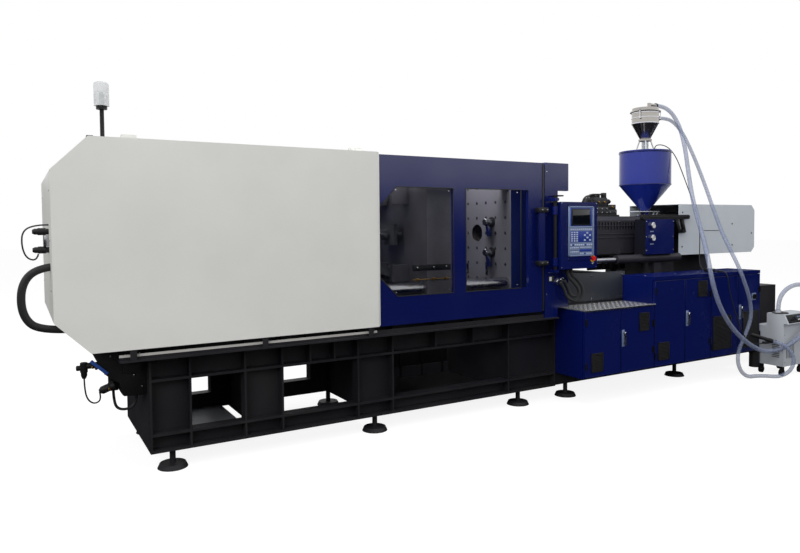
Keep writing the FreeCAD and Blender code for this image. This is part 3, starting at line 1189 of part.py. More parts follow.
CABLE_ROUTE = [
    (2404, -70, 2426), (2404, -72, 2482), (2470, -80, 2504), (2560, -90, 2494), (2636, -106, 2452),
    (2682, -150, 2350), (2684, -215, 2200), (2668, -290, 2050), (2640, -360, 1930),
    (2610, -450, 1760), (2560, -530, 1600), (2500, -580, 1420), (2450, -610, 1260),
    (2425, -640, 1150), (2430, -720, 1121), (2436, -800, 1122), (2440, -862, 1126),
    (2446, -908, 1125), (2456, -932, 1080), (2476, -934, 960), (2526, -944, 790),
    (2590, -962, 610), (2660, -984, 450), (2760, -986, 376), (2900, -986, 350), (3125, -986, 350),
]
OUTER_CONDUIT = [
    (474, -742, 1225), (474, -742, 1172), (560, -748, 1120), (618, -754, 1040), (598, -756, 956),
    (512, -754, 930), (430, -746, 966), (408, -736, 1050), (378, -722, 1104),
]
INNER_CONDUIT = [
    (432, -742, 1225), (432, -742, 1160), (512, -748, 1098), (568, -752, 1036), (556, -754, 988),
    (510, -752, 972), (466, -744, 996), (450, -736, 1062), (424, -722, 1118),
]
LANCE_FRONT = (2983.4, -1091.2, 389.3)
LANCE_BACK = (2863, -930, 448)
LANCE_REST = (2941, -1034, 410)


def free_hoses():
    """The hoses from the receiver to the blower unit and to the lance, and the loader's cable."""
    for name, route in (("vacuum_hose", VACUUM_ROUTE), ("material_hose", MATERIAL_ROUTE),
                        ("loader_cable", CABLE_ROUTE)):
        shape_node(name, tube_along([world(*point) for point in route], number(name + "_radius")))


def panel_conduits():
    """Two conduits looping from the operator's panel to glands on the fixed panel."""
    parts = []
    for route in (OUTER_CONDUIT, INNER_CONDUIT):
        points = [world(*point) for point in route]
        parts.append(tube_along(points, number("conduit_radius")))
        end = FreeCAD.Vector(*points[-1])
        along = end - FreeCAD.Vector(*points[-2])
        along.normalize()
        gland = Part.makeCylinder(number("gland_radius"), number("gland_length"), end, along)
        middle = end + along * number("gland_length") * 0.6
        face = number("axis_y") - number("door_out")
        foot = Part.makeBox(26, face - middle.y, 26,
                            FreeCAD.Vector(middle.x - 13, middle.y, middle.z - 13))
        parts.append(gland.fuse(foot).removeSplitter())
    shape_node("panel_conduits", Part.makeCompound(parts))


def end_point(x, y, z):
    """A point from the hood's free end, the centreline and the axis."""
    return world(x - number("hood_left"), y, number("axis_height") + z)


def clamp_hydraulics():
    """The valve block on the clamp bed's end, the plugs on the hood's end and their hoses."""
    y, plug_y = -number("loop_y"), -number("plug_y")
    top, low = -number("loop_high"), -number("loop_deep")
    routes = [
        (number("loop_radius"), [(80, y, top), (-62, y, top), (-162, y, top - 100),
                                 (-162, y, low + 100), (-62, y, low), (160, y, low)]),
        (number("plug_cable_radius"), [(0, plug_y, 97), (-76, plug_y, 97), (-146, plug_y, 60),
                                       (-150, plug_y, -40), (-124, plug_y, -112),
                                       (-70, plug_y, -126), (-60, plug_y, -84)]),
        (number("valve_cable_radius"), [(56, -410, -812), (56, -410, -900), (84, -410, -980),
                                        (132, -410, -1012), (178, -410, -984), (190, -410, -925)]),
        (number("valve_hose_radius"), [(284, -330, -1000), (284, -330, -1050), (320, -330, -1130),
                                       (404, -330, -1140), (470, -330, -1104), (470, -330, -1045)]),
    ]
    parts = [tube_along([end_point(*point) for point in route], radius) for radius, route in routes]
    for z in (-number("plug_down"), number("plug_up")):
        parts.append(Part.makeCylinder(number("plug_radius"), number("plug_length"),
                                       FreeCAD.Vector(*end_point(0, plug_y, z)),
                                       FreeCAD.Vector(-1, 0, 0)))
    middle = (number("plug_up") - number("plug_down") - number("plug_block")) / 2
    parts.append(Part.makeBox(30, 60, number("plug_block"),
                              FreeCAD.Vector(*end_point(-30, plug_y - 30, middle))))
    deck = number("hood_bottom") - number("axis_height")
    bed_end = number("hood_left") - number("bed_left")
    far = -number("end_valve_far")
    near = -number("end_valve_near")
    outline = [(number("end_valve_out") + 32, deck - 6), (293, deck - 190), (380, deck - 260),
               (434, deck - 350), (bed_end, deck - 350), (bed_end, deck - 6)]
    face = Part.Face(Part.makePolygon([FreeCAD.Vector(*end_point(a, far, b))
                                       for a, b in outline + outline[:1]]))
    body = face.extrude(FreeCAD.Vector(0, near - far, 0))
    upper = Part.makeCylinder(26, 200, FreeCAD.Vector(*end_point(30, -392, -786)), FreeCAD.Vector(1, 0, 0))
    lower = Part.makeCylinder(30, 180, FreeCAD.Vector(*end_point(180, -392, -895)), FreeCAD.Vector(1, 0, 0))
    under = Part.makeBox(60, 70, 190, FreeCAD.Vector(*end_point(254, -365, -1000)))
    rear = Part.makeBox(50, 70, 90, FreeCAD.Vector(*end_point(446, -365, -1045)))
    parts.append(body.fuse([upper, lower, under, rear]).removeSplitter())
    shape_node("clamp_hydraulics", Part.makeCompound(parts))


def valve_manifold():
    """The valve stack on the barrel cover with two formed hoses."""
    base = number("axis_height") + number("guard_up")
    half, thick = number("manifold_half"), number("manifold_plate")
    left, length = number("manifold_left"), number("manifold_length")
    tower, wide = number("tower_left"), number("tower_length")
    tall = number("tower_height")
    radius = number("solenoid_radius")
    deck = base + thick

    def brick(x, y, z, length, width, height):
        return Part.makeBox(length, width, height, FreeCAD.Vector(*world(x, y, z)))

    def rod(x, y, z, length, radius):
        return Part.makeCylinder(radius, length, FreeCAD.Vector(*world(x, y, z)),
                                 FreeCAD.Vector(1, 0, 0))

    pieces = [brick(tower, -half + 15, deck, wide, 2 * half - 60, tall),
              brick(tower + wide, -half + 25, deck, 140, 2 * half - 70, tall * 0.6),
              rod(tower - 46, -60, deck + tall * 0.7, wide + 86, radius * 1.3),
              rod(tower - 50, 30, deck + tall * 0.45, 60, radius),
              rod(tower + wide, -50, deck + tall * 0.78, 90, radius),
              brick(tower + wide - 44, -84, deck + tall, 44, 44, 52),
              brick(tower + 40, -34, deck + tall, 44, 44, 40)]
    stack = brick(left, -half, base, length, 2 * half, thick).fuse(pieces).removeSplitter()
    outer = [(tower + wide - 44, -62, deck + tall + 34), (tower + 70, -62, deck + tall + 34),
             (tower - 30, -66, deck + tall + 30), (left + 40, -74, deck + tall - 50),
             (left + 28, -80, deck + 80), (left + 28, -80, deck)]
    inner = [(tower + 40, -12, deck + tall + 22), (tower - 10, -12, deck + tall + 22),
             (tower - 60, -12, deck + tall - 10), (left + 56, -12, deck + tall - 80),
             (left + 52, -12, deck + 60), (left + 52, -12, deck)]
    hoses = [tube_along([world(*point) for point in route], number("valve_hose_radius"))
             for route in (outer, inner)]
    shape_node("valve_manifold", Part.makeCompound([stack] + hoses))


def main():
    """Build every sub-part, check it and write it."""
    clamp_bed()
    injection_bed()
    levelling_feet()
    fixed_platen()
    moving_platen()
    rear_platen()
    tie_bars()
    toggle_links()
    crosshead_parts()
    ejector_parts()
    hood()
    door_rails()
    safety_doors()
    door_handle()
    fixed_panels()
    control_panel()
    beacon()
    cabinets()
    cabinet_doors()
    main_switch()
    carriage()
    plasticising_unit()
    barrel_guard()
    gauge_box()
    cable_arm()
    injection_drive()
    injection_cover()
    hopper()
    receiver()
    loader_unit()
    suction_lance()
    free_hoses()
    panel_conduits()
    clamp_hydraulics()
    valve_manifold()
    doc.recompute()
    write_parts()


def write_parts():
    """Check every object and sub-part, then write one STEP file for each."""
    for obj in doc.Objects:
        if "Invalid" in obj.State or "Error" in obj.State:
            raise ValueError("%s (%s) did not build: %s" % (obj.Name, obj.Label, obj.State))
    os.makedirs("parts", exist_ok=True)
    for name, obj in NODES.items():
        shape = obj.Shape
        if shape.isNull() or not shape.isValid() or not shape.Solids:
            raise ValueError("%s has no valid solid" % name)
        shape.exportStep("parts/%s.step" % name)
        print("%-24s %3d solids %12.0f mm3" % (name, len(shape.Solids), shape.Volume))


main()
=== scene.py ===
"""Looks of a toggle injection moulding machine and its loader unit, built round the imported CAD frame."""

import json
import logging
import math
from dataclasses import dataclass
from enum import Enum
from typing import Any, Iterable, Optional, Sequence, Union

import bmesh
import bpy
from bmesh.types import BMEdge, BMesh, BMVert
from mathutils import Matrix, Vector

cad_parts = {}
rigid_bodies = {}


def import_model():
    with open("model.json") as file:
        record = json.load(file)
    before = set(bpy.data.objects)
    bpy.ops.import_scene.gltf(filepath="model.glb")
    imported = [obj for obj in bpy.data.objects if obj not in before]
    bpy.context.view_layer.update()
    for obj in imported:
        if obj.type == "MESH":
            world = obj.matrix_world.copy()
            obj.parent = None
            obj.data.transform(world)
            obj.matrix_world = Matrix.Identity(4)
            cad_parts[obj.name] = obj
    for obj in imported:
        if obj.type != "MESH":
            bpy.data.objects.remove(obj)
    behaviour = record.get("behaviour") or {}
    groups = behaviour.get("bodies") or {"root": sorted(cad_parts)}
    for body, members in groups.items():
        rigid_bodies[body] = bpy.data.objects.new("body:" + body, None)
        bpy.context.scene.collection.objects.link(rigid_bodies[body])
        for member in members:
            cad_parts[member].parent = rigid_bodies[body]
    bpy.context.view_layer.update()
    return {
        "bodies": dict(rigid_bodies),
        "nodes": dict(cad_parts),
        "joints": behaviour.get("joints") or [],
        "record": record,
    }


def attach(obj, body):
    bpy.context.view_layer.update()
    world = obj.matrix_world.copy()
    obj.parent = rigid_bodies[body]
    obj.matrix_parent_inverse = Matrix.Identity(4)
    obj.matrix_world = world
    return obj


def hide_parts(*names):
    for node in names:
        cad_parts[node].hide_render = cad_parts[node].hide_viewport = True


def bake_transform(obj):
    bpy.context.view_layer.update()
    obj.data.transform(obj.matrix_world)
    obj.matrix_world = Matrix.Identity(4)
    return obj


LOG = logging.getLogger("moulding_machine")
MM = 0.001
ORIGIN = Vector((120, -233, 0))
"""Where the frame's own origin stands, in machine millimetres: from the mould face, the axis and the floor."""
CLAMP_END = Vector((-3604, 0, 1545))
"""The left end of the hood on the machine's axis, in machine millimetres."""
CREASE = math.radians(32)
STRETCH = 40
"""How many rings of a tube are made at a time."""
SCREW_SIDES = 16
LEAF_FACE = -880
"""Where the cabinet leaves' front is along y."""
WHITE = (1, 1, 1, 1)
LEFT, RIGHT, FRONT, BACK, DOWN, UP = (-1, 0, 0), (1, 0, 0), (0, -1, 0), (0, 1, 0), (0, 0, -1), (0, 0, 1)

Triple = tuple[float, float, float]
Range = tuple[float, float]
Point = Sequence[float]


def metres(point: Point) -> Vector:
    """A machine point in millimetres as a place in the frame, in metres."""
    return (Vector(point) - ORIGIN) * MM


def paint(red: int, green: int, blue: int) -> Triple:
    """A colour given as screen values from 0 to 255, as a linear colour."""
    return tuple((c / 255 / 12.92) if c < 11 else ((c / 255 + 0.055) / 1.055) ** 2.4 for c in (red, green, blue))


# ---------------------------------------------------------------- materials

class Signal:
    """One output of a material's nodes, with Python's own arithmetic on it."""

    def __init__(self, board: "Board", socket: bpy.types.NodeSocket) -> None:
        """Keeps the socket and the board that it stands on."""
        self.board = board
        self.socket = socket

    def _math(self, operation: str, left: "Number", right: "Number" = 0.0) -> "Signal":
        """Adds one Math node."""
        return self.board.add("ShaderNodeMath", {"operation": operation}, {0: left, 1: right})

    def __add__(self, other: "Number") -> "Signal":
        """The sum."""
        return self._math("ADD", self, other)

    __radd__ = __add__

    def __sub__(self, other: "Number") -> "Signal":
        """The difference."""
        return self._math("SUBTRACT", self, other)

    def __rsub__(self, other: "Number") -> "Signal":
        """The difference, the other way round."""
        return self._math("SUBTRACT", other, self)

    def __mul__(self, other: "Number") -> "Signal":
        """The product."""
        return self._math("MULTIPLY", self, other)

    __rmul__ = __mul__

    def __gt__(self, other: "Number") -> "Signal":
        """One where this is the greater."""
        return self._math("GREATER_THAN", self, other)

    def __lt__(self, other: "Number") -> "Signal":
        """One where this is the less."""
        return self._math("LESS_THAN", self, other)

    def most(self, other: "Number") -> "Signal":
        """The greater of the two."""
        return self._math("MAXIMUM", self, other)

    def between(self, low: float, high: float) -> "Signal":
        """One where this lies between two numbers."""
        return (self > low) * (self < high)

    def span(self, low: float, high: float, start: float = 0.0, end: float = 1.0) -> "Signal":
        """Takes low..high to start..end, and holds it there outside them."""
        return self.board.add("ShaderNodeMapRange", {}, {0: self, 1: low, 2: high, 3: start, 4: end})


Number = Union[Signal, float]
Owner = Union[bpy.types.Material, bpy.types.World]


class Board:
    """The node tree of a material or of the world, one call for each node."""

    def __init__(self, owner: Owner) -> None:
        """Empties the owner's tree.

        Args:
            owner: The material or the world that the nodes are for.
        """
        self.owner = owner
        owner.use_nodes = True
        self.tree = owner.node_tree
        self.tree.nodes.clear()
        self._place: Optional[Signal] = None

    def add(self, kind: str, settings: Optional[dict[str, Any]] = None,
            inputs: Optional[dict[Any, Any]] = None, output: Any = 0) -> Signal:
        """Adds a node.

        Args:
            kind: The node's type.
            settings: Its own settings, which are set first.
            inputs: The value or the signal of each of its sockets.
            output: The output that is handed back.

        Returns:
            That output.
        """
        node = self.tree.nodes.new(kind)
        for key, value in (settings or {}).items():
            setattr(node, key, value)
        for key, value in (inputs or {}).items():
            if isinstance(value, Signal):
                self.tree.links.new(value.socket, node.inputs[key])
            else:
                node.inputs[key].default_value = value
        return Signal(self, node.outputs[output])

    @property
    def place(self) -> Signal:
        """The point on the piece.

        Returns:
            Its place in the frame, in metres.
        """
        if self._place is None:
            self._place = self.add("ShaderNodeTexCoord", output="Object")
        return self._place

    def axis(self, letter: str) -> Signal:
        """One coordinate of the point, in machine millimetres."""
        split = self.add("ShaderNodeSeparateXYZ", {}, {0: self.place}, "XYZ".index(letter))
        return split * 1000 + ORIGIN["XYZ".index(letter)]

    def stretched(self, scale: Triple) -> Signal:
        """The point, scaled by a different number along each axis."""
        return self.add("ShaderNodeMapping", {}, {"Vector": self.place, "Scale": scale})

    def noise(self, scale: float, detail: float = 3.0, stretch: Triple = (1, 1, 1)) -> Signal:
        """Cloudy noise from 0 to 1."""
        where = self.place if stretch == (1, 1, 1) else self.stretched(stretch)
        return self.add("ShaderNodeTexNoise", {}, {"Vector": where, "Scale": scale, "Detail": detail})

    def blend(self, share: Number, first: Any, second: Any) -> Signal:
        """A colour between two colours."""
        return self.add("ShaderNodeMix", {"data_type": "RGBA"}, {0: share, 6: _full(first), 7: _full(second)}, 2)

    def bump(self, height: Signal, depth: float) -> Signal:
        """A bumped normal; depth is in metres."""
        return self.add("ShaderNodeBump", {}, {"Height": height, "Distance": depth, "Strength": 1.0})

    def end(self, shader: Signal) -> Owner:
        """Links the shader to the output.

        Args:
            shader: What the surface or the surroundings look like.

        Returns:
            The material or the world.
        """
        kind = "World" if isinstance(self.owner, bpy.types.World) else "Material"
        output = self.tree.nodes.new("ShaderNodeOutput" + kind)
        self.tree.links.new(shader.socket, output.inputs[0])
        return self.owner


def _full(colour: Any) -> Any:
    """A colour with its fourth number, or a signal as it is."""
    return colour if isinstance(colour, Signal) else (*colour, 1.0)


class Surface(Enum):
    """How a finish's surface is made."""

    SPRAYED = "sprayed"
    CAST = "cast"
    BRUSHED = "brushed"
    MOULDED = "moulded"
    CLEAR = "clear"


@dataclass(frozen=True)
class Finish:
    """One finish: a colour, its gloss and the fine structure of its surface."""

    name: str
    colour: Triple
    surface: Surface = Surface.SPRAYED
    rough: float = 0.4
    metal: float = 0.0
    specular: float = 0.5
    coat: float = 0.0
    opacity: float = 1.0
    grain: float = 1.0
    run: Triple = (1.0, 40.0, 40.0)
    soil: float = 0.25
    soil_colour: Triple = (0.05, 0.045, 0.04)

    def material(self) -> bpy.types.Material:
        """The finish as a material, made once."""
        found = bpy.data.materials.get(self.name)
        return found if found else self._build()

    def tint(self, board: Board) -> Any:
        """The colour before soiling; a finish with a pattern gives its own."""
        return self.colour

    def _build(self) -> bpy.types.Material:
        """Builds the node tree: colour with shade and soil, roughness that swings, and a fine bump.

        Returns:
            The material.
        """
        board = Board(bpy.data.materials.new(self.name))
        clouds = board.noise(2.3 * self.grain, 5.0)
        shade, fine, depth, swing = self._structure(board)
        tint = self.tint(board)
        patterned = isinstance(tint, Signal)
        dark = self.soil_colour if patterned else tuple(c * 0.62 for c in self.colour)
        shaded = board.blend(shade * (0.1 if patterned else 0.35), tint, dark)
        colour = board.blend(clouds.span(0.45, 0.8) * self.soil, shaded, self.soil_colour)
        rough = clouds.span(0.3, 0.75, self.rough - swing, self.rough + swing) + fine * (0.4 * swing)
        inputs = {"Base Color": colour, "Roughness": rough, "Metallic": self.metal,
                  "Specular IOR Level": self.specular, "Coat Weight": self.coat, "Coat Roughness": 0.08,
                  "Alpha": self.opacity, "Normal": board.bump(fine, depth)}
        return board.end(board.add("ShaderNodeBsdfPrincipled", {}, inputs))

    def _structure(self, board: Board) -> tuple[Signal, Signal, float, float]:
        """What the kind of surface asks for.

        Args:
            board: The board that takes the nodes.

        Returns:
            Shade variation, fine height, its depth in metres and the swing of the roughness.
        """
        if self.surface is Surface.CAST:
            return board.noise(35 * self.grain, 6), board.noise(420 * self.grain, 5), 0.0012, 0.08
        if self.surface is Surface.BRUSHED:
            lines = board.noise(60 * self.grain, 8, self.run)
            return lines.span(0.35, 0.7), lines, 0.0001, 0.09
        if self.surface is Surface.MOULDED:
            return board.noise(30, 3), board.noise(1400 * self.grain, 3), 0.00008, 0.05
        if self.surface is Surface.CLEAR:
            return board.noise(3, 3), board.noise(5, 2), 0.0004, 0.02
        return board.noise(1.3, 4), board.noise(260 * self.grain, 3), 0.00012, 0.05


BLUE_SOIL = (0.004, 0.008, 0.05)
SOFT_BLACK = paint(20, 20, 22)
HOOD_GREY = Finish("hood_grey_paint", paint(221, 221, 217), rough=0.38, specular=0.35, soil=0.1,
                   soil_colour=(0.35, 0.34, 0.31))
COVER_GREY = Finish("cover_grey_paint", paint(201, 208, 215), rough=0.38, specular=0.35, soil=0.1,
                    soil_colour=(0.3, 0.32, 0.34))
DEEP_BLUE = Finish("deep_blue_paint", paint(8, 20, 82), rough=0.18, specular=0.9, soil=0.12,
                   soil_colour=BLUE_SOIL)
HOPPER_BLUE = Finish("hopper_gloss_blue", paint(18, 36, 126), rough=0.12, specular=0.5, coat=0.05, soil=0.08,
                     soil_colour=(0.01, 0.02, 0.1))
BED_BLACK = Finish("bed_black_paint", paint(30, 29, 34), rough=0.5, specular=0.35, soil=0.3)
CHARCOAL = Finish("charcoal_casting_paint", paint(38, 38, 45), Surface.CAST, rough=0.5, specular=0.35, soil=0.3)
PLATEN_GREY = Finish("platen_machined_grey", paint(112, 111, 120), Surface.BRUSHED, rough=0.46, metal=0.55,
                     run=(1, 30, 1.5), soil=0.5)
LINK_GREY = Finish("casting_grey_paint", paint(78, 80, 86), Surface.CAST, rough=0.5, soil=0.4)
BRIGHT_STEEL = Finish("bright_ground_steel", paint(196, 197, 202), Surface.BRUSHED, rough=0.2, metal=1.0,
                      run=(40, 1.5, 40), soil=0.2)
BRIGHT_ALONG = Finish("bright_steel_along", paint(190, 191, 196), Surface.BRUSHED, rough=0.24, metal=1.0,
                      run=(1.2, 40, 40), soil=0.2)
DARK_STEEL = Finish("dark_machine_steel", paint(58, 59, 62), Surface.CAST, rough=0.42, metal=0.6, soil=0.35)
OXIDE_BLACK = Finish("black_oxide", paint(24, 24, 26), Surface.CAST, rough=0.42, metal=0.3, grain=1.4, soil=0.2)
STAINLESS = Finish("stainless_receiver", paint(182, 178, 174), Surface.BRUSHED, rough=0.18, metal=1.0,
                   run=(1, 1, 45), soil=0.05)
BAND_STEEL = Finish("heater_band_steel", paint(150, 140, 122), Surface.BRUSHED, rough=0.36, metal=0.9,
                    run=(1, 30, 30), soil=0.4)
TREAD = Finish("tread_aluminium", paint(62, 66, 78), Surface.BRUSHED, rough=0.42, metal=0.6,
               run=(20, 2, 20), soil=0.3)
KEY_GREY = Finish("panel_silver_grey", paint(118, 134, 168), Surface.MOULDED, rough=0.4, soil=0.05)
KEY_WHITE = Finish("key_pale", paint(178, 190, 214), Surface.MOULDED, rough=0.45, soil=0.05)
FIELD_BLUE = Finish("keypad_blue_field", paint(22, 52, 140), Surface.MOULDED, rough=0.4, soil=0.05)
SCREEN = Finish("screen_black_glass", paint(10, 14, 20), Surface.CLEAR, rough=0.08, coat=0.3, soil=0.0)
BLACK_PLASTIC = Finish("black_plastic", paint(22, 22, 24), Surface.MOULDED, rough=0.45, soil=0.1)
STOP_RED = Finish("stop_red_plastic", paint(212, 30, 24), Surface.MOULDED, rough=0.3, soil=0.02)
SIGNAL_YELLOW = Finish("yellow_plastic", paint(226, 168, 30), Surface.MOULDED, rough=0.4, soil=0.02)
RUBBER = Finish("black_rubber", paint(34, 35, 36), Surface.MOULDED, rough=0.48, specular=0.4, soil=0.2)
PANE = Finish("clear_pane", paint(20, 26, 34), Surface.CLEAR, rough=0.04, specular=0.7, opacity=0.12, soil=0.0)
SIGHT_GLASS = Finish("sight_glass", paint(150, 160, 170), Surface.CLEAR, rough=0.05, specular=0.9, opacity=0.35,
                     soil=0.0)
LENS = Finish("beacon_clear_lens", paint(222, 225, 228), Surface.CLEAR, rough=0.12, specular=0.7, opacity=0.55,
              soil=0.0)
CLEAR_HOSE = Finish("clear_ribbed_hose", paint(132, 142, 170), Surface.CLEAR, rough=0.2, specular=0.7,
                    opacity=0.52, soil=0.0)
BRASS = Finish("brass_fitting", paint(190, 150, 84), Surface.BRUSHED, rough=0.3, metal=1.0, soil=0.15)
CHROME = Finish("chrome", paint(225, 226, 230), Surface.BRUSHED, rough=0.1, metal=1.0, run=(1, 1, 1), soil=0.0)
LOADER_GREY = Finish("loader_grey_paint", paint(188, 193, 200), rough=0.42, specular=0.35, soil=0.2,
                     soil_colour=(0.1, 0.1, 0.1))
PLAIN_WHITE = Finish("plain_white_plastic", paint(214, 215, 214), Surface.MOULDED, rough=0.4, soil=0.05)
SHIELD_GREY = Finish("shield_dark_grey", paint(52, 55, 62), rough=0.45, specular=0.35, soil=0.3)
BRIGHT_BLUE = Finish("bright_blue_paint", paint(40, 74, 150), rough=0.35, soil=0.1)


@dataclass(frozen=True)
class LeafPaint(Finish):
    """A cabinet leaf's paint, black on the hinge knuckles in front of its face."""

    front: float = -881.2

    def tint(self, board: Board) -> Any:
        """Black in front of the leaf's own thickness."""
        return board.blend(board.axis("Y") < self.front, self.colour, SOFT_BLACK)


@dataclass(frozen=True)
class GaugeBoxPaint(Finish):
    """The gauge box's paint, black on the side towards the mould."""

    side: float = 1868

    def tint(self, board: Board) -> Any:
        """Black where the surface is that side."""
        return board.blend(board.axis("X") < self.side, self.colour, SOFT_BLACK)


@dataclass(frozen=True)
class RailPaint(Finish):
    """The door rails' black paint, with the running rail bare and bright below the hood."""

    rail: Range = (812, 829)
    door: float = -1440
    posts: float = -696

    def tint(self, board: Board) -> Any:
        """Bright along the rail's upper half, left of the door and behind the posts."""
        lip = board.axis("Z").between(*self.rail) * (board.axis("X") < self.door) * (board.axis("Y") > self.posts)
        return board.blend(lip, self.colour, paint(196, 194, 190))


@dataclass(frozen=True)
class PlatenPaint(Finish):
    """A platen's ground grey, blue on its two sides, and painted shade: black in its bore."""

    axis_z: float = 1545
    # The radius out to which the bore is painted black as shade.
    bore: float = 112
    skin: float = 3
    half_width: float = 498

    def tint(self, board: Board) -> Any:
        """Blue where the surface is a side of the platen, and painted shade: black near its axis inside the faces, as
        if the bore lay in shadow.

        Args:
            board: The board that takes the nodes.

        Returns:
            The colour.
        """
        across, above = board.axis("Y"), board.axis("Z") - self.axis_z
        inside = (across * across + above * above) < self.bore ** 2
        # Painted shade: the bore is coloured black where it would lie in shadow.
        shaded_bore = board.blend(inside * (board.axis("X") > self.skin), self.colour, SOFT_BLACK)
        return board.blend((across * across) > self.half_width ** 2, shaded_bore, paint(20, 38, 110))


@dataclass(frozen=True)
class LoaderPaint(Finish):
    """The loader's paint, black on its castors, its pot and its rest arm."""

    low: float = 104
    left: float = 3125

    def tint(self, board: Board) -> Any:
        """Black below the body and to its left."""
        outside = (board.axis("Z") < self.low) + (board.axis("X") < self.left)
        return board.blend(outside.span(0, 1), self.colour, paint(24, 24, 26))


LEAF_BLUE = LeafPaint("cabinet_leaf_paint", DEEP_BLUE.colour, rough=0.24, specular=0.3, soil=0.12,
                      soil_colour=BLUE_SOIL)
CABINET_BLUE = Finish("cabinet_blue_paint", DEEP_BLUE.colour, rough=0.24, specular=0.3, soil=0.12,
                      soil_colour=BLUE_SOIL)
RAIL_PAINT = RailPaint("rail_black_with_bright_lip", BED_BLACK.colour, rough=0.45, specular=0.35, soil=0.2)
GAUGE_BOX = GaugeBoxPaint("gauge_box_paint", DEEP_BLUE.colour, rough=0.22, specular=0.6, soil=0.12,
                          soil_colour=BLUE_SOIL)
PLATEN_PAINT = PlatenPaint("platen_grey_blue_sides_shaded_bore", PLATEN_GREY.colour, Surface.BRUSHED, rough=0.46, metal=0.3,
                           run=(1, 30, 1.5), soil=0.3)
LOADER_BODY = LoaderPaint("loader_body_paint", LOADER_GREY.colour, rough=0.42, specular=0.35, soil=0.2,
                          soil_colour=LOADER_GREY.soil_colour)

NODE_FINISHES: dict[Finish, tuple[str, ...]] = {
    HOOD_GREY: ("hood",),
    COVER_GREY: ("injection_cover",),
    DEEP_BLUE: ("front_safety_door", "rear_safety_door", "front_fixed_panel", "rear_fixed_panel",
                "front_door_handle", "control_panel"),
    GAUGE_BOX: ("gauge_box",),
    HOPPER_BLUE: ("hopper",),
    CABINET_BLUE: ("step_cabinet", "control_cabinet"),
    LEAF_BLUE: ("step_left_door", "step_right_door", "cabinet_door_a", "cabinet_door_b", "cabinet_door_c",
                "cabinet_door_d"),
    BED_BLACK: ("clamp_bed", "injection_bed", "levelling_feet"),
    CHARCOAL: ("injection_carriage", "barrel_guard"),
    PLATEN_GREY: ("moving_platen", "rear_platen"),
    PLATEN_PAINT: ("fixed_platen",),
    LINK_GREY: ("upper_rear_links", "lower_rear_links", "upper_front_links", "lower_front_links", "crosshead",
                "ejector_plate"),
    BRIGHT_ALONG: ("tie_bars", "crosshead_guide_rods", "traverse_rods", "barrel", "ejector_cylinder"),
    RAIL_PAINT: ("door_rails",),
    DARK_STEEL: ("clamp_cylinder", "injection_drive"),
    OXIDE_BLACK: ("beacon_post", "hinge_post", "suction_lance", "cable_tray", "main_switch"),
    STAINLESS: ("receiver",),
    BAND_STEEL: ("heater_bands",),
    TREAD: ("tread_plate",),
    SCREEN: ("panel_screen",),
    STOP_RED: ("emergency_stop",),
    PANE: ("front_door_windows",),
    SIGHT_GLASS: ("sight_glass",),
    LENS: ("beacon_lens",),
    LOADER_BODY: ("loader_unit",),
}


# ---------------------------------------------------------------- mesh forms

